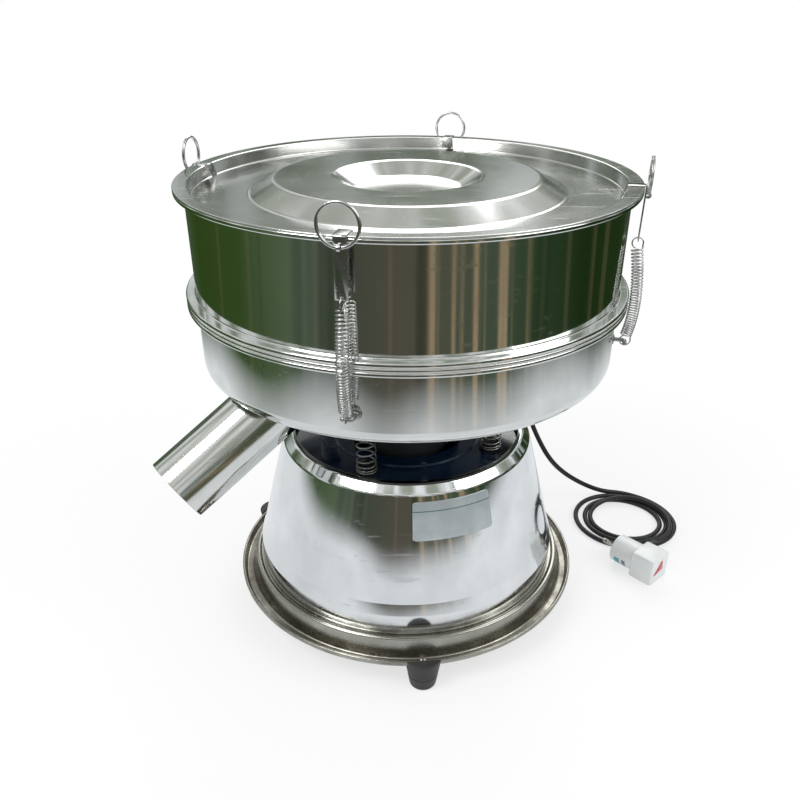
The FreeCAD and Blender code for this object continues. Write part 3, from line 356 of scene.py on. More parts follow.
class Nodes:
    """A node tree under construction."""

    def __init__(self, tree):
        self.tree = tree

    def add(self, kind, **settings):
        """A node, with its properties set by name."""
        node = self.tree.nodes.new(kind)
        for name, value in settings.items():
            setattr(node, name, value)
        return node

    def link(self, source, target):
        self.tree.links.new(source, target)

    def feed(self, target, value):
        """A socket set to a value, or linked to another socket."""
        if isinstance(value, bpy.types.NodeSocket):
            self.link(value, target)
        else:
            target.default_value = value

    def maths(self, operation, first, second=0.0, third=None):
        node = self.add("ShaderNodeMath", operation=operation)
        self.feed(node.inputs[0], first)
        self.feed(node.inputs[1], second)
        if third is not None:
            self.feed(node.inputs[2], third)
        return node.outputs[0]

    def vectors(self, operation, first, second=None, scale=None):
        node = self.add("ShaderNodeVectorMath", operation=operation)
        self.feed(node.inputs[0], first)
        if second is not None:
            self.feed(node.inputs[1], second)
        if scale is not None:
            self.feed(node.inputs["Scale"], scale)
        return node.outputs[0]

    def axes(self, vector):
        """The three parts of a vector."""
        node = self.add("ShaderNodeSeparateXYZ")
        self.link(vector, node.inputs[0])
        return node.outputs

    def reach(self, x, y):
        """The length of two parts together."""
        squares = [self.maths("POWER", part, 2.0) for part in (x, y)]
        return self.maths("SQRT", self.maths("ADD", *squares))

    def between(self, value, low, high, out_low=0.0, out_high=1.0):
        """A value mapped from one range to another, held at the ends."""
        node = self.add("ShaderNodeMapRange")
        self.feed(node.inputs["Value"], value)
        limits = (low, high, out_low, out_high)
        for name, number in zip(("From Min", "From Max", "To Min", "To Max"), limits):
            self.feed(node.inputs[name], number)
        return node.outputs[0]

    def blended(self, share, first, second):
        """Two colours mixed by a mask."""
        node = self.add("ShaderNodeMix", data_type="RGBA")
        self.feed(node.inputs[0], share)
        self.feed(node.inputs[6], first)
        self.feed(node.inputs[7], second)
        return node.outputs[2]

    def noise(self, vector, scale, detail=2.0, roughness=0.5):
        node = self.add("ShaderNodeTexNoise")
        self.feed(node.inputs["Vector"], vector)
        self.feed(node.inputs["Scale"], scale)
        self.feed(node.inputs["Detail"], detail)
        self.feed(node.inputs["Roughness"], roughness)
        return node.outputs["Fac"]

    def glow(self, kind, colour, strength=1.0):
        """An emission or background shader."""
        node = self.add(kind)
        self.feed(node.inputs["Color"], colour)
        node.inputs["Strength"].default_value = strength
        return node.outputs[0]

    def chosen(self, share, first, second):
        """Two shaders mixed by a mask."""
        node = self.add("ShaderNodeMixShader")
        for socket, value in zip(node.inputs, (share, first, second)):
            self.link(value, socket)
        return node.outputs[0]


def shader_group(name, inputs, outputs):
    """An empty node group with named number sockets."""
    tree = bpy.data.node_groups.new(name, "ShaderNodeTree")
    for label, start in inputs.items():
        socket = tree.interface.new_socket(name=label, in_out="INPUT", socket_type="NodeSocketFloat")
        socket.default_value = start
    for label in outputs:
        tree.interface.new_socket(name=label, in_out="OUTPUT", socket_type="NodeSocketFloat")
    build = Nodes(tree)
    return build, build.add("NodeGroupInput").outputs, build.add("NodeGroupOutput").inputs


def object_place(build):
    return build.add("ShaderNodeTexCoord").outputs["Object"]


def face_normal(build):
    return build.add("ShaderNodeNewGeometry").outputs["Normal"]


def make_turning_group():
    """Fine rings left by spinning or polishing about the machine's axis, and slow ripples in the sheet."""
    build, given, made = shader_group("turning_marks", {"Ring Scale": 900.0, "Ripple Scale": 9.0},
                                      ("Rings", "Ripple"))
    place = object_place(build)
    x, y, z = build.axes(place)
    rings = build.add("ShaderNodeCombineXYZ")
    build.link(build.maths("MULTIPLY", build.reach(x, y), given["Ring Scale"]), rings.inputs[0])
    build.link(build.maths("MULTIPLY", z, given["Ring Scale"]), rings.inputs[1])
    around = build.maths("ARCTAN2", y, x)
    build.link(build.maths("MULTIPLY", build.maths("COSINE", around), 1.5), rings.inputs[2])
    build.link(build.noise(rings.outputs[0], 1.0, 3.0, 0.6), made["Rings"])
    stretched = build.vectors("MULTIPLY", place, (1.0, 1.0, 0.35))
    build.link(build.noise(stretched, given["Ripple Scale"], 2.0, 0.45), made["Ripple"])
    return build.tree


def make_handling_group():
    """Smudges, fine scratches and specks that handling leaves on a surface."""
    build, given, made = shader_group(
        "handling_marks", {"Smudge Scale": 14.0, "Scratch Scale": 220.0, "Speck Scale": 420.0},
        ("Smudge", "Scratch", "Speck"))
    place = object_place(build)
    cloud = build.noise(place, given["Smudge Scale"], 5.0, 0.6)
    build.link(build.between(cloud, 0.42, 0.68), made["Smudge"])
    tilt = build.add("ShaderNodeMapping")
    build.link(place, tilt.inputs["Vector"])
    tilt.inputs["Rotation"].default_value = (0.6, 0.35, 0.9)
    tilt.inputs["Scale"].default_value = (0.06, 1.0, 1.0)
    line = build.noise(tilt.outputs[0], given["Scratch Scale"], 2.0, 0.4)
    build.link(build.between(line, 0.64, 0.72), made["Scratch"])
    speck = build.noise(place, given["Speck Scale"], 1.0, 0.5)
    build.link(build.between(speck, 0.70, 0.78), made["Speck"])
    return build.tree


def make_low_darkening_group():
    """Darker, duller patches towards the bottom: full below the low level, gone above the high one."""
    build, given, made = shader_group("darker_low_down", {"Low": 0.02, "High": 0.06, "Patch Scale": 26.0},
                                      ("Amount",))
    place = object_place(build)
    height = build.between(build.axes(place)[2], given["Low"], given["High"], 1.0, 0.0)
    patch = build.between(build.noise(place, given["Patch Scale"], 4.0, 0.65), 0.35, 0.7)
    build.link(build.maths("MULTIPLY", height, patch), made["Amount"])
    return build.tree


def make_skin_group():
    """The fine uneven skin of moulded rubber, plastic or paint."""
    build, given, made = shader_group("moulded_skin", {"Grain Scale": 900.0, "Mottle Scale": 35.0},
                                      ("Grain", "Mottle"))
    place = object_place(build)
    build.link(build.noise(place, given["Grain Scale"], 2.0, 0.5), made["Grain"])
    mottle = build.noise(place, given["Mottle Scale"], 3.0, 0.55)
    build.link(build.between(mottle, 0.3, 0.7), made["Mottle"])
    return build.tree


TURNING = make_turning_group()
HANDLING = make_handling_group()
LOW_DARKENING = make_low_darkening_group()
SKIN = make_skin_group()


def placed(build, tree, **values):
    """The outputs of a shader group placed in a material, with its inputs set."""
    node = build.add("ShaderNodeGroup", node_tree=tree)
    for name, value in values.items():
        node.inputs[name.replace("_", " ")].default_value = value
    return node.outputs


def new_material(name):
    """A material, its nodes and the inputs of its Principled BSDF."""
    material = bpy.data.materials.new(name)
    material.use_nodes = True
    return material, Nodes(material.node_tree), material.node_tree.nodes["Principled BSDF"].inputs


def raised(build, surface, height, strength, distance):
    """A bump on the surface, its distance in millimetres."""
    bump = build.add("ShaderNodeBump")
    bump.inputs["Strength"].default_value = strength
    bump.inputs["Distance"].default_value = distance * MM
    build.link(height, bump.inputs["Height"])
    build.link(bump.outputs[0], surface["Normal"])
    return bump


def summed(build, *shares):
    """Several heights or masks added up, each with its own weight."""
    total = None
    for value, weight in shares:
        part = build.maths("MULTIPLY", value, weight)
        total = part if total is None else build.maths("ADD", total, part)
    return total


def polished_steel(name, colour, dull, low, high, ripple=0.5, darker_band=None, ring_scale=900.0,
                   shaded_below=None, droop=0.0):
    """Polished or worn stainless sheet: spinning rings, ripples, smudges and specks.

    Between two levels the sheet grows darker and duller towards the bottom, and what faces down below a level
    is darkened as painted shade and made rougher, in metres.
    Droop leans the mirror image a little towards the floor.
    """
    material, build, surface = new_material(name)
    marks = placed(build, TURNING, Ring_Scale=ring_scale)
    touch = placed(build, HANDLING)
    tint = build.blended(build.maths("MULTIPLY", touch["Smudge"], 0.35), colour, dull)
    rough = summed(build, (marks["Rings"], high - low), (touch["Smudge"], 0.05),
                   (touch["Scratch"], 0.08), (touch["Speck"], 0.1))
    rough = build.maths("ADD", rough, low)
    # Darker and duller towards the bottom, in patches, between the two levels.
    if darker_band:
        film = placed(build, LOW_DARKENING, Low=darker_band[0], High=darker_band[1])["Amount"]
        tint = build.blended(film, tint, (0.12, 0.105, 0.085, 1))
        rough = build.maths("ADD", rough, build.maths("MULTIPLY", film, 0.22))
    # Painted shade: faces that turn down below this level get a darker colour and a rougher finish.
    if shaded_below:
        level = build.axes(object_place(build))[2]
        under = build.between(level, shaded_below - 0.003, shaded_below + 0.001, 1.0, 0.0)
        down = build.axes(face_normal(build))[2]
        painted_shade = build.maths("MULTIPLY", under, build.between(down, -0.3, -0.1, 1.0, 0.0))
        tint = build.blended(painted_shade, tint, (0.11, 0.11, 0.10, 1))
        rough = build.maths("ADD", rough, build.maths("MULTIPLY", painted_shade, 0.25))
    build.link(tint, surface["Base Color"])
    build.link(rough, surface["Roughness"])
    surface["Metallic"].default_value = 1.0
    height = summed(build, (marks["Ripple"], 1.0), (marks["Rings"], 0.006), (touch["Scratch"], -0.004))
    bump = raised(build, surface, height, 1.0, ripple)
    if droop:
        lowered = build.vectors("ADD", face_normal(build), (0, 0, -droop))
        build.link(build.vectors("NORMALIZE", lowered), bump.inputs["Normal"])
    return material


def wire_steel(name, colour, low, high):
    """Zinc-plated wire, strip or screws with dull specks."""
    material, build, surface = new_material(name)
    touch = placed(build, HANDLING, Smudge_Scale=60.0, Scratch_Scale=600.0, Speck_Scale=900.0)
    dull = (*(0.6 * part for part in colour[:3]), 1)
    build.link(build.blended(touch["Smudge"], colour, dull), surface["Base Color"])
    rough = summed(build, (touch["Smudge"], high - low), (touch["Scratch"], 0.1))
    build.link(build.maths("ADD", rough, low), surface["Roughness"])
    surface["Metallic"].default_value = 1.0
    raised(build, surface, summed(build, (touch["Scratch"], -1.0), (touch["Speck"], -1.0)), 0.4, 0.05)
    return material


def moulded(name, colour, second, low, high, grain, coat=0.0, grain_scale=900.0, metal=0.0):
    """Moulded rubber or plastic, cast metal or paint, with its own skin and a slight mottle."""
    material, build, surface = new_material(name)
    skin = placed(build, SKIN, Grain_Scale=grain_scale)
    touch = placed(build, HANDLING, Smudge_Scale=40.0, Scratch_Scale=400.0, Speck_Scale=700.0)
    build.link(build.blended(skin["Mottle"], colour, second), surface["Base Color"])
    rough = summed(build, (skin["Mottle"], high - low), (touch["Scratch"], 0.08), (touch["Speck"], 0.12))
    build.link(build.maths("ADD", rough, low), surface["Roughness"])
    surface["Coat Weight"].default_value = coat
    surface["Coat Roughness"].default_value = 0.06
    surface["Metallic"].default_value = metal
    raised(build, surface, summed(build, (skin["Grain"], 1.0), (touch["Scratch"], -0.4)), 0.35, grain)
    return material


# The pan's faces that turn down below 281 mm carry painted shade.
MIRROR = polished_steel("mirror_sheet", (0.76, 0.77, 0.76, 1), (0.58, 0.59, 0.57, 1), 0.035, 0.075,
                        shaded_below=0.281)
BELL_MIRROR = polished_steel("mirror_bell", (0.80, 0.81, 0.82, 1), (0.62, 0.62, 0.62, 1), 0.04, 0.085, 0.45,
                             darker_band=(0.045, 0.068), droop=0.018)
SATIN = polished_steel("satin_lid", (0.72, 0.72, 0.71, 1), (0.56, 0.55, 0.53, 1), 0.10, 0.2, 0.25,
                       ring_scale=1400.0)
SPOUT_STEEL = polished_steel("polished_spout", (0.74, 0.745, 0.73, 1), (0.55, 0.55, 0.52, 1), 0.05, 0.12, 0.3)
WORN = polished_steel("worn_tray", (0.42, 0.41, 0.37, 1), (0.27, 0.25, 0.21, 1), 0.13, 0.26, 0.25,
                      darker_band=(0.026, 0.050))
ZINC = wire_steel("zinc_wire", (0.66, 0.66, 0.65, 1), 0.16, 0.38)
STRIP = wire_steel("spring_strip", (0.60, 0.60, 0.59, 1), 0.12, 0.3)
SCREW = wire_steel("zinc_screws", (0.68, 0.67, 0.63, 1), 0.2, 0.4)
NICKEL = wire_steel("nickel_blades", (0.62, 0.60, 0.57, 1), 0.18, 0.34)
BEARING = wire_steel("ground_bearing", (0.72, 0.72, 0.72, 1), 0.1, 0.25)
PLAIN_STEEL = wire_steel("plain_steel", (0.44, 0.44, 0.43, 1), 0.3, 0.5)
WELD = wire_steel("weld_bead", (0.52, 0.50, 0.47, 1), 0.25, 0.45)
NAVY = moulded("navy_enamel", (0.006, 0.02, 0.055, 1), (0.01, 0.032, 0.08, 1), 0.08, 0.18, 0.02, coat=0.6)
RUBBER = moulded("black_rubber", (0.012, 0.012, 0.012, 1), (0.03, 0.029, 0.028, 1), 0.42, 0.62, 0.05)
SHEATH = moulded("lead_sheath", (0.005, 0.005, 0.005, 1), (0.01, 0.01, 0.01, 1), 0.4, 0.55, 0.03)
NYLON = moulded("black_nylon", (0.014, 0.014, 0.015, 1), (0.028, 0.028, 0.03, 1), 0.34, 0.5, 0.04)
SILICONE = moulded("clear_silicone", (0.62, 0.63, 0.60, 1), (0.72, 0.72, 0.69, 1), 0.35, 0.5, 0.02)
WHITE = moulded("white_plastic", (0.80, 0.82, 0.82, 1), (0.74, 0.77, 0.77, 1), 0.16, 0.28, 0.02, coat=0.2)
TEAL = moulded("teal_band", (0.05, 0.33, 0.42, 1), (0.08, 0.40, 0.48, 1), 0.25, 0.4, 0.02)
GREY_BAND = moulded("grey_band", (0.16, 0.19, 0.22, 1), (0.23, 0.26, 0.29, 1), 0.3, 0.45, 0.02)
RED = moulded("red_lens", (0.50, 0.012, 0.03, 1), (0.58, 0.03, 0.05, 1), 0.18, 0.3, 0.02, coat=0.4)
ENAMEL = moulded("motor_enamel", (0.035, 0.04, 0.045, 1), (0.06, 0.065, 0.07, 1), 0.35, 0.5, 0.08,
                 grain_scale=500.0)
CASTING = moulded("cast_iron", (0.06, 0.06, 0.062, 1), (0.10, 0.098, 0.095, 1), 0.5, 0.7, 0.2,
                  grain_scale=380.0, metal=0.7)


def woven_wire():
    """A fine woven wire cloth, with its wires over and under, and painted shade in the holes between them."""
    material, build, surface = new_material("woven_wire")
    x, y, _ = build.axes(object_place(build))
    pitch = 2 * math.pi / 0.0016
    warp, weft = [build.maths("ABSOLUTE", build.maths("SINE", build.maths("MULTIPLY", part, pitch)))
                  for part in (x, y)]
    wires = build.maths("MAXIMUM", warp, weft)
    # The dark colour at the holes is painted shade for the dark space below the cloth.
    build.link(build.blended(wires, (0.10, 0.10, 0.10, 1), (0.55, 0.55, 0.54, 1)), surface["Base Color"])
    build.link(build.between(wires, 0.0, 1.0, 0.6, 0.3), surface["Roughness"])
    surface["Metallic"].default_value = 1.0
    raised(build, surface, wires, 0.6, 0.3)
    return material


def label_foil():
    """Silver label foil with one printed line near its top edge and a faint sheen."""
    material, build, surface = new_material("label_foil")
    level = build.axes(object_place(build))[2]
    line = build.maths("MULTIPLY", build.maths("GREATER_THAN", level, 0.1740),
                       build.maths("LESS_THAN", level, 0.1748))
    touch = placed(build, HANDLING, Smudge_Scale=50.0, Scratch_Scale=300.0, Speck_Scale=500.0)
    tint = build.blended(touch["Smudge"], (0.44, 0.49, 0.51, 1), (0.52, 0.57, 0.58, 1))
    build.link(build.blended(line, tint, (0.02, 0.13, 0.17, 1)), surface["Base Color"])
    build.link(build.between(touch["Smudge"], 0.0, 1.0, 0.34, 0.46), surface["Roughness"])
    surface["Metallic"].default_value = 0.35
    raised(build, surface, touch["Scratch"], 0.2, 0.02)
    return material


WEAVE = woven_wire()
FOIL = label_foil()


# ---------------------------------------------------------------- finishing a piece

def finished(thing, material, body, slot, *nodes):
    """Give a piece its material and body, and hide the CAD nodes that it stands for. The slot is not used."""
    if not thing.data.materials:
        thing.data.materials.append(material)
    if body:
        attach(thing, body)
    if nodes:
        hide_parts(*nodes)
    return thing


def painted(thing, *materials):
    """Set the material slots of a piece."""
    thing.data.materials.clear()
    for material in materials:
        thing.data.materials.append(material)
    return thing


# ---------------------------------------------------------------- geometry node trees

def geometry_tree(name, inputs):
    """An empty geometry tree with named inputs and one geometry output."""
    tree = bpy.data.node_groups.new(name, "GeometryNodeTree")
    tree.interface.new_socket(name="Geometry", in_out="INPUT", socket_type="NodeSocketGeometry")
    for label, kind in inputs:
        tree.interface.new_socket(name=label, in_out="INPUT", socket_type=kind)
    tree.interface.new_socket(name="Geometry", in_out="OUTPUT", socket_type="NodeSocketGeometry")
    build = Nodes(tree)
    return build, build.add("NodeGroupInput").outputs, build.add("NodeGroupOutput").inputs


def ended(build, geometry, material, made):
    """Realize the instances, set the material and hand over the geometry."""
    real = build.add("GeometryNodeRealizeInstances")
    build.link(geometry, real.inputs[0])
    coat = build.add("GeometryNodeSetMaterial")
    build.link(real.outputs[0], coat.inputs["Geometry"])
    build.link(material, coat.inputs["Material"])
    build.link(coat.outputs[0], made["Geometry"])


def grown(name, tree, **values):
    """A mesh object made by a geometry tree, with its inputs set by identifier."""
    thing = linked(name, bpy.data.meshes.new(name))
    modifier = thing.modifiers.new("Tree", "NODES")
    modifier.node_group = tree
    sockets = {item.name: item.identifier for item in tree.interface.items_tree
               if item.item_type == "SOCKET" and item.in_out == "INPUT"}
    for label, value in values.items():
        modifier[sockets[label.replace("_", " ")]] = value
    applied(thing)
    thing.data.name = name
    return thing


def make_spring_tree():
    """A wire wound round a bent line, with its end turns drawn together."""
    build, given, made = geometry_tree("wound_spring", [
        ("Turns", "NodeSocketFloat"), ("Steps", "NodeSocketInt"), ("Coil Radius", "NodeSocketFloat"),
        ("Wire Radius", "NodeSocketFloat"), ("Closing", "NodeSocketFloat"), ("First", "NodeSocketVector"),
        ("Bend", "NodeSocketVector"), ("Last", "NodeSocketVector"), ("Material", "NodeSocketMaterial"),
    ])
    maths, vectors = build.maths, build.vectors
    line = build.add("GeometryNodeMeshLine")
    count = maths("ADD", maths("MULTIPLY", given["Turns"], given["Steps"]), 1.0)
    build.link(count, line.inputs["Count"])
    index = build.add("GeometryNodeInputIndex").outputs[0]
    share = maths("DIVIDE", index, maths("SUBTRACT", count, 1.0))
    wave = maths("SINE", maths("MULTIPLY", share, 2 * math.pi))
    drawn = maths("MULTIPLY", wave, maths("MULTIPLY", given["Closing"], 1 / (2 * math.pi)))
    along = maths("SUBTRACT", share, drawn)
    rest = maths("SUBTRACT", 1.0, along)
    first_leg = vectors("SUBTRACT", given["Bend"], given["First"])
    last_leg = vectors("SUBTRACT", given["Last"], given["Bend"])
    near = vectors("ADD", given["First"], vectors("SCALE", first_leg, scale=along))
    far = vectors("ADD", given["Bend"], vectors("SCALE", last_leg, scale=along))
    centre = vectors("ADD", near, vectors("SCALE", vectors("SUBTRACT", far, near), scale=along))
    heading = vectors("NORMALIZE", vectors("ADD", vectors("SCALE", first_leg, scale=rest),
                                           vectors("SCALE", last_leg, scale=along)))
    outward = vectors("NORMALIZE", vectors("CROSS_PRODUCT", heading, (0, 1, 0)))
    sideways = vectors("CROSS_PRODUCT", heading, outward)
    angle = maths("MULTIPLY", maths("MULTIPLY", share, given["Turns"]), 2 * math.pi)
    arms = [vectors("SCALE", side, scale=maths("MULTIPLY", maths(wanted, angle), given["Coil Radius"]))
            for side, wanted in ((outward, "COSINE"), (sideways, "SINE"))]
    wound = build.add("GeometryNodeSetPosition")
    build.link(line.outputs[0], wound.inputs["Geometry"])
    build.link(vectors("ADD", centre, vectors("ADD", *arms)), wound.inputs["Position"])
    curve = build.add("GeometryNodeMeshToCurve")
    build.link(wound.outputs[0], curve.inputs[0])
    section = build.add("GeometryNodeCurvePrimitiveCircle")
    section.inputs["Resolution"].default_value = 8
    build.link(given["Wire Radius"], section.inputs["Radius"])
    wire = build.add("GeometryNodeCurveToMesh")
    build.link(curve.outputs[0], wire.inputs["Curve"])
    build.link(section.outputs[0], wire.inputs["Profile Curve"])
    wire.inputs["Fill Caps"].default_value = True
    ended(build, wire.outputs[0], given["Material"], made)
    return build.tree


def make_circle_tree():
    """Copies of one piece spread round a circle about the vertical axis, each turned to face outwards."""
    build, given, made = geometry_tree("placed_on_circle", [
        ("Piece", "NodeSocketObject"), ("Count", "NodeSocketInt"), ("Radius", "NodeSocketFloat"),
        ("Level", "NodeSocketFloat"), ("Bearing", "NodeSocketFloat"), ("Material", "NodeSocketMaterial"),
    ])
    maths = build.maths
    spots = build.add("GeometryNodeMeshLine")
    build.link(given["Count"], spots.inputs["Count"])
    index = build.add("GeometryNodeInputIndex").outputs[0]
    step = maths("DIVIDE", 360.0, given["Count"])
    angle = maths("RADIANS", maths("ADD", given["Bearing"], maths("MULTIPLY", index, step)))
    spot = build.add("ShaderNodeCombineXYZ")
    build.link(maths("MULTIPLY", maths("SINE", angle), given["Radius"]), spot.inputs[0])
    build.link(maths("MULTIPLY", maths("COSINE", angle), maths("MULTIPLY", given["Radius"], -1.0)),
               spot.inputs[1])
    build.link(given["Level"], spot.inputs[2])
    spread = build.add("GeometryNodeSetPosition")
    build.link(spots.outputs[0], spread.inputs["Geometry"])
    build.link(spot.outputs[0], spread.inputs["Position"])
    source = build.add("GeometryNodeObjectInfo")
    build.link(given["Piece"], source.inputs["Object"])
    turn = build.add("ShaderNodeCombineXYZ")
    build.link(angle, turn.inputs[2])
    copies = build.add("GeometryNodeInstanceOnPoints")
    build.link(spread.outputs[0], copies.inputs["Points"])
    build.link(source.outputs["Geometry"], copies.inputs["Instance"])
    build.link(turn.outputs[0], copies.inputs["Rotation"])
    ended(build, copies.outputs[0], given["Material"], made)
    return build.tree


SPRING_TREE = make_spring_tree()
CIRCLE_TREE = make_circle_tree()


def on_circle(name, piece, count, radius, level, bearing, material):
    """The piece repeated round a circle as one mesh. The single piece is used up."""
    made = grown(name, CIRCLE_TREE, Piece=piece, Count=count, Radius=radius * MM, Level=level * MM,
                 Bearing=float(bearing), Material=material)
    bpy.data.objects.remove(piece)
    smooth(made)
    return made


# ---------------------------------------------------------------- turned deck pieces

def build_deck():
    """The lid, barrel, screen and pan, turned about the machine's axis."""
    lid = spun("lid_pressing", [
        (0, 440.5, 0), (50, 440.5, 9), (68, 452.5, 9), (121, 452.5, 9), (144, 440.5, 7), (197.5, 440.5, 2.2),
        (197.5, 452.5, 0.6), (FLANGE, 452.5, 0.7), (FLANGE, LID_TOP, 0.7), (196, LID_TOP, 1.6),
        (196, LID_FLOOR, 1.2),
        (144, LID_FLOOR, 8), (121, LID_TOP, 9), (68, LID_TOP, 9), (50, LID_FLOOR, 9), (0, LID_FLOOR, 0),
    ], closed=False)
    finished(lid, SATIN, "lid", "satin_steel", "lid")

    barrel = spun("barrel_wall", [
        (BORE, BARREL_FOOT, 0.5), (FLANGE, BARREL_FOOT, 1.4), (FLANGE, 359, 1.4), (DECK, 359, 1.4),
        (DECK, 448.5, 1.4), (FLANGE, 448.5, 1.4), (FLANGE, BARREL_RIM, 1.4), (BORE, BARREL_RIM, 0.5),
    ])
    finished(barrel, MIRROR, "barrel", "mirror_steel", "sieve_barrel")

    frame_ring = spun("screen_ring", [(195, SCREEN_BOTTOM, 0.4), (FLANGE, SCREEN_BOTTOM, 0.7),
                                      (FLANGE, SCREEN_TOP, 0.7), (195, SCREEN_TOP, 0.4)])
    finished(frame_ring, SATIN, "screen", "satin_steel", "screen_frame")
    cloth = spun("woven_screen", [(0, 352.7, 0), (195, 352.7, 0), (195, 353.3, 0), (0, 353.3, 0)],
                 closed=False)
    finished(cloth, WEAVE, "screen", "mesh_steel", "screen_mesh")
    for label, bottom in (("lower_seal", PAN_RIM), ("upper_seal", SCREEN_TOP)):
        seal = spun(label + "_lip", [(BORE, bottom, 0.2), (208.3, bottom, 0.3), (208.3, bottom + 0.8, 0.3),
                                     (BORE, bottom + 0.8, 0.2)])
        finished(seal, SILICONE, "screen", "seal_silicone", label)

    mouth = rim_point(SPOUT_MOUTH_RADIUS, SPOUT_BEARING, SPOUT_MOUTH_LEVEL)
    fall = math.radians(SPOUT_FALL)
    inward = rim_point(-math.cos(fall), SPOUT_BEARING, math.sin(fall))
    outside = [(0, PAN_FLOOR, 0), (PAN_DISH_RADIUS, PAN_FLOOR, 20), (DECK, PAN_EDGE, 14),
               (DECK, PAN_FLANGE, 0)]
    pan = spun("pan_bowl", outside[:3] + [
        (DECK, PAN_FLANGE, 1.4), (FLANGE, PAN_FLANGE, 1.4), (FLANGE, PAN_RIM, 1.4), (BORE, PAN_RIM, 0.5),
        (BORE, PAN_EDGE + 0.96, 12.5), (PAN_DISH_RADIUS - 0.33, PAN_FLOOR + 1.5, 21.5),
        (0, PAN_FLOOR + 1.5, 0),
    ], closed=False)
    carved(pan, moved(rod(SPOUT_RADIUS - 1, 0, SPOUT_RUN, 96), aimed(inward, mouth)))
    smooth(pan)
    finished(pan, MIRROR, "pan", "mirror_steel", "collecting_pan", "pan_base")

    bore = SPOUT_RADIUS - 1.5
    tube = spun("spout_tube", [(bore, 0, 0.3), (SPOUT_RADIUS, 0, 0.5), (SPOUT_RADIUS, SPOUT_RUN, 0),
                               (bore, SPOUT_RUN, 0)], segments=128)
    moved(tube, aimed(inward, mouth))
    carved(tube, spun("pan_space", outside + [(0, PAN_FLANGE, 0)], closed=False))
    smooth(tube)
    finished(tube, SPOUT_STEEL, "pan", "mirror_steel", "outlet_spout")

    bead = swept("spout_weld", spout_weld_line(mouth, inward), 1.3, sides=10, closed=True)
    finished(bead, WELD, "pan", "mirror_steel")


def in_pan(point):
    """Whether a point lies inside the pan's outer skin."""
    r, z = math.hypot(point.x, point.y), point.z
    return r < DECK and z > PAN_FLOOR + max(0, r - PAN_DISH_RADIUS) * PAN_FALL


def spout_weld_line(mouth, inward):
    """Where the spout's outside meets the pan."""
    side = inward.cross(Vector((0, 0, 1))).normalized()
    up = side.cross(inward)
    line = []
    for step in range(96):
        angle = 2 * math.pi * step / 96
        start = mouth + (side * math.cos(angle) + up * math.sin(angle)) * (SPOUT_RADIUS + 0.15)
        low, high = 0.0, SPOUT_RUN
        for _ in range(24):
            middle = (low + high) / 2
            if in_pan(start + inward * middle):
                high = middle
            else:
                low = middle
        line.append(start + inward * low)
    return line


# ---------------------------------------------------------------- chassis

def build_chassis():
    """The bell, tray, feet and spring plate."""
    bell = spun("bell_shell", [
        (148, SEAT, 0.4), (163, SEAT, 2), (163, SKIRT_TOP, 2.5), (SEAM_RADIUS, SEAM_TOP, 3),
        (SHOULDER_RADIUS, SHOULDER, 6), (123, CROWN, 5), (118, CROWN, 0.7), (118, 197.5, 0.4),
        (122.25, 197.5, 3.5), (SHOULDER_RADIUS - 1.5, SHOULDER, 4.5), (SEAM_RADIUS - 1.5, SEAM_TOP, 3),
        (161.5, SKIRT_TOP, 2.5), (161.5, 48.5, 0.6), (148, 48.5, 0.4),
    ])
    finished(bell, BELL_MIRROR, "base", "mirror_steel", "chassis_bell")
    tray = spun("tray_pressing", [
        (0, 45, 0), (169, 45, 2), (174, 26, 3), (184.5, 26, 2), (186.75, 30.5, 0.6), (188, 30.5, 1.1),
        (188, 35, 1.8), (185.75, 35, 0.9), (183.5, 28, 1.8), (176, 28, 2.5), (171, 49, 1.9), (167.5, 49, 1.5),
        (165.5, SEAT, 0.8), (0, SEAT, 0),
    ], closed=False)
    finished(tray, WORN, "base", "worn_steel", "base_tray")
    plate_ring = spun("spring_deck", [
        (62, PLATE_BOTTOM, 0.5), (130.5, PLATE_BOTTOM, 0.4), (129.7, PLATE_TOP, 0.8), (78, PLATE_TOP, 1.0),
        (78, 191, 1.0), (62, 191, 0.6),
    ])
    finished(plate_ring, NAVY, "base", "navy_paint", "spring_plate")
    for number, bearing in enumerate(FOOT_BEARINGS, start=1):
        x, y, _ = rim_point(FOOT_PITCH, bearing)
        foot = spun(f"foot_moulding_{number}", [
            (0, 10, 0), (5, 10, 0.4), (5, 0, 0.6), (13, 0, 3), (15.2, 14, 0.8), (14.8, 15.4, 0.6),
            (15.6, 17, 0.8), (18.6, 36, 1.4), (0, 36, 0),
        ], closed=False, segments=72, centre=(x, y))
        carved(foot, rod(188, 26, 50, 192))
        smooth(foot)
        finished(foot, RUBBER, "base", "black_rubber", f"rubber_foot_{number}")


def screw_head(name, radius, height, hexagonal=False):
    """One screw head on Z = 0: a cross-recessed pan head or a hexagon."""
    if hexagonal:
        corners = [(radius * math.cos(math.radians(60 * turn)), radius * math.sin(math.radians(60 * turn)))
                   for turn in range(6)]
        return plate(name, corners, height, 0.35)
    head = spun(name, [(0, 0, 0), (radius, 0, 0.2), (radius * 0.92, height * 0.75, 0.5),
                       (radius * 0.5, height, 1.0), (0, height, 0)], closed=False, segments=32)
    half, slot = radius * 0.52, radius * 0.13
    for turned in (0, 1):
        outline = [(-half, -slot), (half, -slot), (half, slot), (-half, slot)]
        if turned:
            outline = [(-y, x) for x, y in outline]
        cutter = plate("cutter", outline, height, 0.02)
        moved(cutter, Matrix.Translation((0, 0, height * 0.55 * MM)))
        carved(head, cutter)
    smooth(head)
    return head


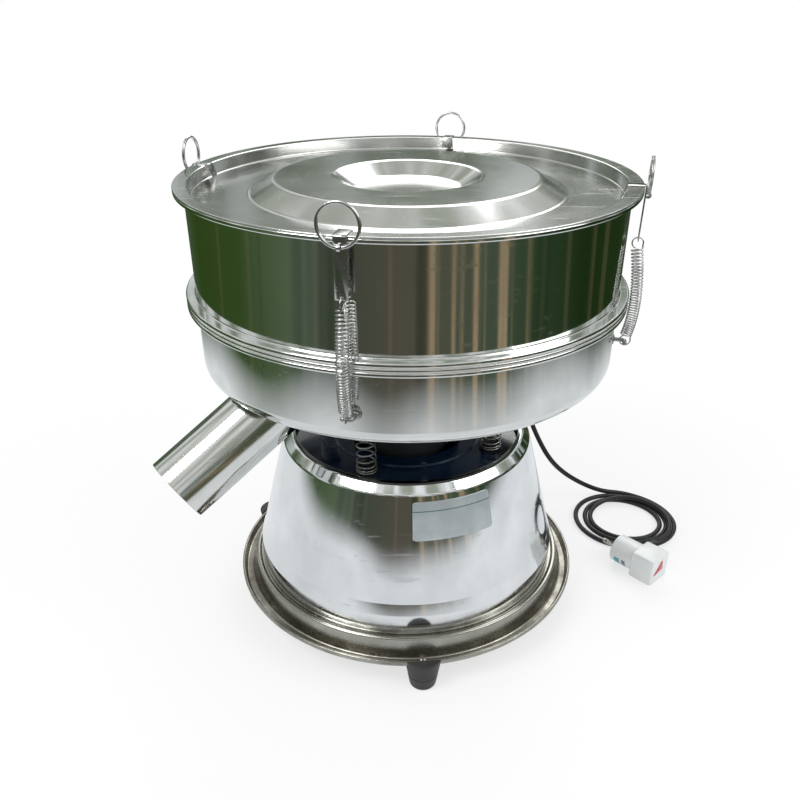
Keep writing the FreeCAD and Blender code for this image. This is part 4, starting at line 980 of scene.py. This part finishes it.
def build_fasteners():
    """Screws of the plate, the feet and the chassis."""
    plate_screws = on_circle("plate_screw_heads", screw_head("one", 4.2, 2.2), 4, 123, PLATE_TOP,
                             SPRING_BEARINGS[0] + 45, SCREW)
    finished(plate_screws, SCREW, "base", "screw_steel", "plate_screws")
    foot_heads = on_circle("foot_screw_heads", screw_head("one", 3, 2.2), 3, FOOT_PITCH, 28, FOOT_BEARINGS[0],
                           SCREW)
    finished(foot_heads, SCREW, "base", "screw_steel", "foot_screws")
    nuts = on_circle("chassis_nuts", screw_head("one", 4.5, 3, True), 3, 155.5, 48.5, 65, SCREW)
    heads = on_circle("chassis_heads", screw_head("one", 4.5, 3, True), 3, 155.5, 42, 65, SCREW)
    fixings = joined("chassis_fixings", [nuts, heads])
    finished(fixings, SCREW, "base", "screw_steel", "chassis_screws")


def build_suspension():
    """The four compression springs, each one stretching between the plate and the pan."""
    for number, bearing in enumerate(SPRING_BEARINGS, start=1):
        foot = rim_point(SPRING_PITCH, bearing, SPRING_FOOT + 1)
        head = rim_point(SPRING_PITCH, bearing, SPRING_HEAD - 1)
        spring = grown(f"suspension_coil_{number}", SPRING_TREE, Turns=10.0, Steps=24, Coil_Radius=9.5 * MM,
                       Wire_Radius=1.0 * MM, Closing=0.62, First=foot * MM, Bend=(foot + head) / 2 * MM,
                       Last=head * MM, Material=ZINC)
        smooth(spring, 60)
        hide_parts(f"suspension_spring_{number}")
        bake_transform(spring)


def build_label():
    """A plain rating plate stuck on the bell: silver foil with one thin line."""
    across, down = 36, 22
    left, right, top, bottom = 2.0, 35.7, 184.0, 145.8
    points, faces = [], []
    corner = 0.06
    for row in range(down + 1):
        for column in range(across + 1):
            u, v = column / across, row / down
            edge = max(corner - min(v, 1 - v), 0) / corner
            inset = corner * 0.55 * (1 - math.sqrt(max(0.0, 1 - edge * edge)))
            u = inset + u * (1 - 2 * inset)
            level = top + (bottom - top) * v
            points.append(rim_point(cone_radius(level) + 0.16, left + (right - left) * u, level))
    for row in range(down):
        for column in range(across):
            start = row * (across + 1) + column
            faces.append((start, start + across + 1, start + across + 2, start + 1))
    label = thickened(mesh_object("rating_plate", points, faces), 0.12)
    finished(label, FOIL, "base", "mirror_steel")


# ---------------------------------------------------------------- clips

def strip(name, line, width, thick, bend):
    """A flat strip along a line in the radial plane (X outwards, Z up), its width along Y."""
    middle = bent([(x, 0, z) for x, z in line], bend, 6)
    points, faces = [], []
    half, count = width / 2, len(middle)
    for index, point in enumerate(middle):
        before, after = middle[max(index - 1, 0)], middle[min(index + 1, count - 1)]
        along = (after - before).normalized()
        off = Vector((along.z, 0, -along.x)) * (thick / 2)
        for side in (-1, 1):
            points.append(point + off * side + Vector((0, -half, 0)))
            points.append(point + off * side + Vector((0, half, 0)))
    for index in range(count - 1):
        low, high = index * 4, index * 4 + 4
        for first, second in ((0, 1), (1, 3), (3, 2), (2, 0)):
            faces.append((low + first, low + second, high + second, high + first))
    faces += [(0, 1, 3, 2), tuple((count - 1) * 4 + corner for corner in (0, 1, 3, 2))]
    return bevelled(mesh_object(name, points, faces, 50), 0.25)


def clip_shape():
    """One clip facing +X: the strip folded over the lid's flange, with its ring eye and spring hole."""
    shape = strip("clip", [(209.8, 407.0), (210.4, 454.5), (194.6, 454.5), (190.6, 443.0)], 10.5, 0.9, 1.6)
    carved(shape, moved(rod(2.2, 0, 8, 32), aimed((1, 0, 0), (206, 0, 411))))
    smooth(shape, 40)
    eye = spun("eye", [(1.62, -1.5, 0.3), (2.7, -1.5, 0.4), (2.7, 1.5, 0.4), (1.62, 1.5, 0.3)], segments=40)
    moved(eye, aimed((0, 1, 0), (RING_REACH, 0, RING_LEVEL)))
    return joined("clip", [shape, eye])


def ring_shape():
    """One split ring of flat wire, wound twice, standing up in its eye and facing +X."""
    steps, sides = 168, 10
    points, faces = [], []
    for step in range(steps + 1):
        share = step / steps
        angle = math.radians(-70 + 690 * share)
        cross = min(max((share - 0.42) / 0.16, 0), 1)
        offset = -0.68 + 1.36 * cross * cross * (3 - 2 * cross)
        outward = Vector((0, math.cos(angle), math.sin(angle)))
        centre = Vector((RING_REACH + offset, 0, RING_LEVEL + RING_RADIUS)) + outward * RING_RADIUS
        for side in range(sides):
            turn = 2 * math.pi * side / sides
            section = outward * (1.16 * math.cos(turn)) + Vector((0.65 * math.sin(turn), 0, 0))
            points.append(centre + section)
    for step in range(steps):
        for side in range(sides):
            after = (side + 1) % sides
            low, high = step * sides, (step + 1) * sides
            faces.append((low + side, low + after, high + after, high + side))
    faces += [tuple(range(sides)), tuple(steps * sides + side for side in range(sides))]
    return mesh_object("ring", points, faces, 50)


def end_loop(end, way):
    """One end loop of an extension spring in the radial plane: upwards with way 1, downwards with -1."""
    line = [end + Vector((4.7, 0, 0)), end + Vector((CLIP_COIL_RADIUS, 0, 2.2 * way))]
    for step in range(29):
        angle = math.radians(-20 + 275 * step / 28)
        arm = Vector((math.cos(angle), 0, way * (1 + math.sin(angle))))
        line.append(end + arm * CLIP_COIL_RADIUS)
    return painted(swept("loop", line, 0.62, 8), ZINC)


def clip_spring_shape():
    """One extension spring facing +X, bowed round the middle flanges, with a full loop at each end."""
    top = Vector((209.84, 0, CLIP_SPRING_TOP))
    bend = Vector((219.5, 0, 347.4))
    foot = Vector((CLIP_SPRING_REACH, 0, CLIP_SPRING_FOOT))
    coil = grown("coil", SPRING_TREE, Turns=33.0, Steps=24, Coil_Radius=CLIP_COIL_RADIUS * MM,
                 Wire_Radius=0.65 * MM, Closing=0.0, First=top * MM, Bend=bend * MM, Last=foot * MM,
                 Material=ZINC)
    smooth(coil, 60)
    return joined("clip_spring", [coil, end_loop(top, 1), end_loop(foot, -1)])


def build_clips():
    """Four clips with their rings and springs."""
    clip = clip_shape()
    ring = ring_shape()
    spring = clip_spring_shape()
    for number, bearing in enumerate(CLIP_BEARINGS, start=1):
        turn = bearing - 90
        strip_copy = turned_copy(clip, turn, f"clip_strip_{number}")
        finished(painted(strip_copy, STRIP), STRIP, f"clip_{number}", "zinc_wire", f"clip_{number}")
        ring_copy = turned_copy(ring, turn, f"split_ring_{number}")
        finished(ring_copy, ZINC, f"pull_ring_{number}", "zinc_wire", f"pull_ring_{number}")
        wound = turned_copy(spring, turn, f"clip_coil_{number}")
        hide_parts(f"clip_spring_{number}")
        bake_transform(wound)
    for used in (clip, ring, spring):
        bpy.data.objects.remove(used)


def build_hooks():
    """Four hooks on the pan, each a bent pin on its washer."""
    line = bent([(198.0, 5.0, HOOK_LEVEL), (211.0, 5.0, HOOK_LEVEL), (211.0, -3.5, HOOK_LEVEL)], 3.2, 8)
    pin = swept("pin", line, 2.0, sides=16)
    tip = spun("tip", [(0, -0.2, 0), (2.0, -0.2, 0), (1.4, 0.9, 0.6), (0, 1.0, 0)], closed=False, segments=16)
    moved(tip, aimed((0, -1, 0), line[-1]))
    washer = spun("washer", [(0, -0.6, 0), (5, -0.6, 0), (5, 1.2, 0.4), (2.6, 1.3, 0.4), (2.1, 2.4, 0.3),
                             (0, 2.4, 0)], closed=False, segments=40)
    moved(washer, aimed((1, 0, 0), (200.0, 5.0, HOOK_LEVEL)))
    hook = joined("hook", [pin, tip, washer])
    hooks = [turned_copy(hook, bearing - 90, f"hook_{index}") for index, bearing in enumerate(CLIP_BEARINGS)]
    bpy.data.objects.remove(hook)
    made = joined("welded_hooks", hooks)
    finished(painted(made, PLAIN_STEEL), PLAIN_STEEL, "pan", "zinc_wire", "spring_hooks")


# ---------------------------------------------------------------- supply lead and plug

LEAD_RADIUS = 3.0
GLAND_BEARING = 138.0
GLAND_LEVEL = 152.0
GLAND_LENGTH = 22.0
COIL_CENTRE = Vector((282.5, 97, 0))
PLUG_CORNER = (281, -34)
PLUG_TURN = 133.0

# The lead's route, in millimetres, from the gland to the coil and from the coil to the plug.
LEAD_ROUTE = [(122, 135, 161.5), (141, 149, 152), (155, 153, 131), (167, 143, 103), (184, 133, 74),
              (206, 138, 49), (236, 150, 24), (266, 158, 7)]
TAIL_ROUTE = [(306, 39.5, 10), (297, 33, 20)]

# The coil's turns, clockwise: radius and height at every 30 degrees of turn.
COIL_TURNS = [
    (61.5, 3.6), (59.5, 3.1), (60.5, 3.1), (62.5, 3.1), (61.0, 3.1), (58.5, 3.1),
    (59.5, 3.1), (60.5, 3.1), (61.5, 3.1), (62.0, 3.1), (61.0, 3.1), (58.0, 3.1),
    (54.0, 3.1), (51.0, 3.1), (51.5, 3.1), (52.5, 3.1), (51.0, 3.1), (49.5, 3.1),
    (49.0, 3.1), (49.5, 3.1), (50.0, 3.1), (50.0, 3.1), (49.5, 3.1), (47.5, 3.1),
    (44.5, 3.1), (43.0, 3.1), (43.5, 3.1), (44.5, 3.1), (43.5, 3.1), (42.5, 3.1),
    (42.0, 3.1), (42.5, 3.1), (43.0, 3.1), (43.5, 3.1), (43.0, 4.2), (42.5, 7.4),
    (43.5, 9.5), (46.5, 9.6), (50.5, 9.6), (54.5, 9.7), (58.5, 9.8),
]


def gland_frame():
    """The point on the bell's wall where the gland sits, and the direction it points in."""
    rise = math.atan2(SEAM_RADIUS - SHOULDER_RADIUS, SHOULDER - SEAM_TOP)
    direction = rim_point(math.cos(rise), GLAND_BEARING, math.sin(rise))
    return rim_point(cone_radius(GLAND_LEVEL), GLAND_BEARING, GLAND_LEVEL), direction


def plug_place():
    """The plug's own frame: X along its blades, Z up."""
    return Matrix.Translation((PLUG_CORNER[0] * MM, PLUG_CORNER[1] * MM, 0)) @ Matrix.Rotation(
        math.radians(PLUG_TURN), 4, "Z")


def coil_points():
    """The loose turns on the floor, starting where the lead arrives at the far side."""
    points = []
    for index, (radius, level) in enumerate(COIL_TURNS):
        angle = math.radians(78 - 30 * index)
        across, back = math.cos(angle) * radius * 1.03, math.sin(angle) * radius * 1.03
        points.append(COIL_CENTRE + Vector((across, back, level)))
    return points


def build_gland():
    """The gland with its grip ribs and tapered sleeve, and the nut inside the bell."""
    wall, direction = gland_frame()
    body = spun("gland", [
        (0, -7, 0), (6.5, -7, 0.3), (6.5, 0, 0), (8.5, 0, 0.4), (8.5, 5.6, 0.5), (6.4, 7.2, 0.8),
        (4.8, GLAND_LENGTH, 0.5), (0, GLAND_LENGTH, 0),
    ], closed=False, segments=64)
    rib = plate("rib", [(-0.5, -0.4), (0.5, -0.4), (0.5, 0.45), (-0.5, 0.45)], 4.4, 0.15)
    ribs = on_circle("ribs", rib, 20, 8.5, 0.7, 0, NYLON)
    rings = [spun("ring", [(radius - 0.3, level, 0), (radius + 0.35, level, 0.2),
                           (radius + 0.3, level + 1.2, 0.2), (radius - 0.3, level + 1.2, 0)], segments=48)
             for radius, level in ((5.98, 9.2), (5.66, 11.4), (5.36, 13.6), (5.05, 15.8))]
    gland = joined("gland_body", [painted(body, NYLON), ribs] + [painted(ring, NYLON) for ring in rings])
    moved(gland, aimed(direction, wall))
    finished(gland, NYLON, "base", "black_nylon", "cable_gland")
    nut = screw_head("nut", 9.5, 5, True)
    moved(nut, aimed(direction, wall - direction * 7.0))
    nut.name = "gland_back_nut"
    finished(nut, NYLON, "base", "black_nylon", "gland_nut")
    return wall + direction * GLAND_LENGTH


def build_plug():
    """The plug: a square box with a round nose, flat blades, a printed patch, a sleeve and a red mark."""
    place = plug_place()
    box = plate("box", [(0, -34), (30, -34), (30, 0), (0, 0)], 34, 0)
    bevelled(box, 3.0, segments=5)
    nose = spun("nose", [(0, 0, 0), (16.5, 0, 0), (16.5, 43, 1.4), (0, 43, 0)], closed=False, segments=96)
    moved(nose, aimed((1, 0, 0), (15, -17, 17.5)))
    groove = spun("groove", [(16.1, 0, 0), (16.8, 0, 0.2), (16.8, 0.9, 0.2), (16.1, 0.9, 0)], segments=96)
    moved(groove, aimed((1, 0, 0), (30.4, -17, 17.5)))
    shell = joined("plug_shell", [painted(box, WHITE), painted(nose, WHITE), painted(groove, WHITE)])
    moved(shell, place)
    finished(shell, WHITE, "base", "white_plastic", "plug_body")

    patches = []
    for first, last, material in ((36.5, 43.5, TEAL), (46.5, 51.5, GREY_BAND)):
        points, faces = [], []
        for step in range(17):
            angle = math.radians(-80 + 74 * step / 16)
            for station in (first, last):
                points.append((88 - station, -17 + 16.56 * math.cos(angle), 17.5 + 16.56 * math.sin(angle)))
        for step in range(16):
            faces.append((2 * step, 2 * step + 1, 2 * step + 3, 2 * step + 2))
        patches.append(painted(thickened(mesh_object("patch", points, faces), 0.1), material))
    printed = joined("plug_printed_patches", patches)
    moved(printed, place)
    finished(printed, TEAL, "base", "white_plastic")

    blades = []
    for side in (-1, 1):
        blade = plate("blade", [(-3.15, 0), (3.15, 0), (3.15, 15.4), (2.2, 17), (-2.2, 17), (-3.15, 15.4)],
                      1.6, 0.25)
        carved(blade, moved(rod(1.5, -2, 4, 24), Matrix.Translation((0, 13 * MM, 0))))
        smooth(blade)
        shift = Matrix.Translation((0, (side * 6.35 - 0.8) * MM, 0))
        turn = Matrix.Rotation(math.radians(40), 4, "X") @ shift
        stand = Matrix(((0, 1, 0, 0), (0, 0, 1, 0), (1, 0, 0, 0), (0, 0, 0, 1)))
        moved(blade, Matrix.Translation((58 * MM, -17 * MM, 17.5 * MM)) @ turn @ stand)
        blades.append(painted(blade, NICKEL))
    pair = joined("plug_pins", blades)
    moved(pair, place)
    finished(pair, NICKEL, "base", "plug_pin", "plug_blades")

    profile = [(0, 12, 0), (5.6, 12, 0)]
    for rib in range(5):
        level = 16.6 + rib * 1.9
        size = 5.3 - rib * 0.2
        profile += [(size, level, 0.25), (size, level + 1.1, 0.25), (size - 0.8, level + 1.2, 0.1),
                    (size - 0.85, level + 1.8, 0.1)]
    profile.append((0, 26, 0))
    sleeve = spun("plug_strain_sleeve", profile, closed=False, segments=48)
    moved(sleeve, aimed((0, -1, 0), (38, -17, 22)))
    moved(sleeve, place)
    finished(sleeve, SHEATH, "base", "white_plastic", "plug_sleeve")

    mark = plate("plug_mark", [(-4, 14), (-21, 16.5), (-18.5, 29)], 1.2, 0.35)
    moved(mark, Matrix(((0, 0, -1, 0.0002), (1, 0, 0, 0), (0, 1, 0, 0), (0, 0, 0, 1))))
    smooth(mark)
    moved(mark, place)
    finished(mark, RED, "base", "red_plastic", "plug_indicator")
    outlet = place @ (Vector((38, -43, 22)) * MM) / MM
    return outlet, [shell, printed, pair, sleeve, mark]


def build_lead():
    """The supply lead on one smooth line: gland, free run, loose turns on the floor and plug."""
    start = build_gland()
    outlet, on_lead = build_plug()
    points = [start] + [Vector(point) for point in LEAD_ROUTE] + coil_points()
    points += [Vector(point) for point in TAIL_ROUTE] + [outlet]
    curve = bpy.data.curves.new("supply_cord", "CURVE")
    curve.dimensions = "3D"
    spline = curve.splines.new("NURBS")
    spline.points.add(len(points) - 1)
    for spot, point in zip(spline.points, points):
        spot.co = (*(point * MM), 1.0)
    spline.order_u = 3
    spline.use_endpoint_u = True
    spline.resolution_u = 10
    curve.bevel_depth = LEAD_RADIUS * MM
    curve.bevel_resolution = 5
    curve.use_fill_caps = True
    cord = linked("supply_cord", curve)
    curve.materials.append(SHEATH)
    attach(cord, "base")
    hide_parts("supply_lead", "lead_coil", "lead_tail")
    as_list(on_lead)


# ---------------------------------------------------------------- inner pieces and stage

def dress_inner_nodes():
    """Materials for the CAD pieces that keep their own shape."""
    finish = {
        "plate_brackets": PLAIN_STEEL, "lower_spring_seats": RUBBER, "upper_spring_seats": RUBBER,
        "motor_posts": PLAIN_STEEL, "motor_screws": SCREW, "motor_upper_cap": ENAMEL,
        "motor_lower_cap": ENAMEL, "motor_housing": ENAMEL, "motor_stator": CASTING,
        "upper_bearing": BEARING, "lower_bearing": BEARING, "motor_rotor": CASTING,
        "motor_shaft": PLAIN_STEEL, "upper_weight": CASTING, "lower_weight": CASTING, "weight_screws": SCREW,
    }
    for node, material in finish.items():
        painted(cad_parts[node], material)


def build_camera():
    """A camera a little above the machine's front, its lens shifted upwards."""
    lens = bpy.data.cameras.new("camera")
    lens.sensor_width = 36
    lens.lens = 812.36 / 800 * 36
    lens.shift_y = 50 / 800
    lens.clip_end = 100
    camera = linked("camera", lens)
    camera.location = (-0.007, -0.76446, 0.60899)
    camera.rotation_euler = (math.radians(90 - 30.23), 0, 0)
    bpy.context.scene.camera = camera


FLOOR_REACH = 40000.0
WHITE_LIGHT = (1, 1, 1, 1)
LAMP_TARGET = Vector((0, 0, 0.25))

# What polished steel mirrors, by azimuth in degrees from the front towards +X: grass, a shaded path, trees.
SURROUNDINGS = [
    (-180, (0.10, 0.13, 0.09)), (-128, (0.030, 0.064, 0.012)), (-88, (0.040, 0.078, 0.020)),
    (-62, (0.085, 0.125, 0.065)), (-46, (0.115, 0.150, 0.105)), (-30, (0.062, 0.072, 0.052)),
    (-4, (0.092, 0.084, 0.062)), (18, (0.082, 0.090, 0.060)), (40, (0.060, 0.086, 0.056)),
    (62, (0.030, 0.056, 0.024)), (92, (0.013, 0.030, 0.008)), (132, (0.016, 0.036, 0.009)),
    (180, (0.10, 0.13, 0.09)),
]


def surroundings(build, direction):
    """The colours round about, broken by a few upright streaks of light."""
    x, y, _ = build.axes(direction)
    azimuth = build.maths("ARCTAN2", x, build.maths("MULTIPLY", y, -1.0))
    share = build.maths("MULTIPLY_ADD", azimuth, 1 / (2 * math.pi), 0.5)
    ramp = build.add("ShaderNodeValToRGB")
    build.link(share, ramp.inputs[0])
    stops = ramp.color_ramp.elements
    for position, (angle, colour) in enumerate(SURROUNDINGS):
        at = (angle + 180) / 360
        stop = stops[position] if position < 2 else stops.new(at)
        stop.position = at
        stop.color = (*colour, 1)
    flat = build.vectors("MULTIPLY", direction, (1.0, 1.0, 0.05))
    fine = build.noise(flat, 9.0)
    aside = build.maths("ABSOLUTE", build.maths("ADD", azimuth, -0.52))
    facing = build.between(aside, 0.30, 0.62, 1.0, 0.12)
    warm = build.maths("MULTIPLY", build.between(fine, 0.57, 0.64), facing)
    streaked = build.blended(warm, ramp.outputs[0], (0.34, 0.26, 0.16, 1))
    shade = build.noise(flat, 4.0)
    return build.blended(build.between(shade, 0.56, 0.70, 0.0, 0.6), streaked, (0.010, 0.016, 0.008, 1))


def build_floor():
    """A pale floor that keeps the shadow. Polished steel sees it pale nearby and green further off."""
    corners = [(-FLOOR_REACH, -FLOOR_REACH, 0), (FLOOR_REACH, -FLOOR_REACH, 0),
               (FLOOR_REACH, FLOOR_REACH, 0), (-FLOOR_REACH, FLOOR_REACH, 0)]
    floor = mesh_object("floor", corners, [(0, 1, 2, 3)])
    material, build, surface = new_material("pale_floor")
    surface["Base Color"].default_value = (0.88, 0.88, 0.88, 1)
    surface["Roughness"].default_value = 0.9
    light = build.add("ShaderNodeLightPath").outputs
    place = object_place(build)
    x, y, _ = build.axes(place)
    reach = build.reach(x, y)
    around = build.vectors("NORMALIZE", place)

    white = build.glow("ShaderNodeEmission", WHITE_LIGHT)
    share = build.between(reach, 0.35, 0.85, 0.66, 1.0)
    plain = material.node_tree.nodes["Principled BSDF"].outputs[0]
    seen = build.chosen(build.maths("MULTIPLY", light["Is Camera Ray"], share), plain, white)

    edge = build.between(build.noise(around, 1.3, 0.0), 0.30, 0.70, 0.70, 0.88)
    far = build.between(build.maths("SUBTRACT", reach, edge), -0.10, 0.16)
    mottle = build.noise(place, 3.0, 3.0, 0.6)
    pale = build.blended(build.between(mottle, 0.35, 0.7), (0.74, 0.78, 0.80, 1), (0.90, 0.92, 0.94, 1))
    mirrored = build.glow("ShaderNodeEmission", build.blended(far, pale, surroundings(build, around)))
    final = build.chosen(light["Is Glossy Ray"], seen, mirrored)
    build.link(final, material.node_tree.nodes["Material Output"].inputs["Surface"])
    floor.data.materials.append(material)


def build_world():
    """White to the eye, plain pale light, and in polished steel the trees below a bright sky."""
    world = bpy.data.worlds.new("studio")
    bpy.context.scene.world = world
    world.use_nodes = True
    world.node_tree.nodes.clear()
    build = Nodes(world.node_tree)
    light = build.add("ShaderNodeLightPath").outputs
    direction = build.add("ShaderNodeTexCoord").outputs["Generated"]
    level = build.axes(direction)[2]
    leaves = build.noise(direction, 6.0, 4.0, 0.6)
    gaps = build.maths("MULTIPLY", build.between(leaves, 0.50, 0.58),
                       build.between(level, 0.0, 0.25, 0.35, 1.0))
    trees = build.blended(gaps, surroundings(build, direction), (0.72, 0.78, 0.78, 1))
    cloud = build.blended(build.between(leaves, 0.40, 0.60), (0.33, 0.37, 0.30, 1), (0.90, 0.91, 0.92, 1))
    horizon = build.between(level, 0.22, 0.42)
    mirrored = build.glow("ShaderNodeBackground", build.blended(horizon, trees, cloud))
    plain = build.glow("ShaderNodeBackground", WHITE_LIGHT, 0.62)
    seen = build.glow("ShaderNodeBackground", WHITE_LIGHT)
    lit = build.chosen(light["Is Glossy Ray"], plain, mirrored)
    output = build.add("ShaderNodeOutputWorld")
    build.link(build.chosen(light["Is Camera Ray"], lit, seen), output.inputs["Surface"])


def add_lamp(name, place, size, power):
    """A square soft lamp aimed at the machine."""
    data = bpy.data.lights.new(name, "AREA")
    data.shape = "SQUARE"
    data.size = size
    data.energy = power
    lamp = linked(name, data)
    lamp.location = place
    lamp.rotation_euler = (LAMP_TARGET - Vector(place)).to_track_quat("-Z", "Y").to_euler()


def main():
    build_camera()
    build_floor()
    build_world()
    add_lamp("key", (-1.1, -0.9, 1.9), 1.0, 22)
    add_lamp("fill", (1.4, -0.5, 1.5), 1.2, 12)
    add_lamp("back", (0.3, 1.6, 1.8), 1.4, 14)
    build_lead()
    build_deck()
    build_chassis()
    build_label()
    build_fasteners()
    build_suspension()
    build_clips()
    build_hooks()
    dress_inner_nodes()


bpy.context.scene.view_settings.view_transform = "Standard"
main()
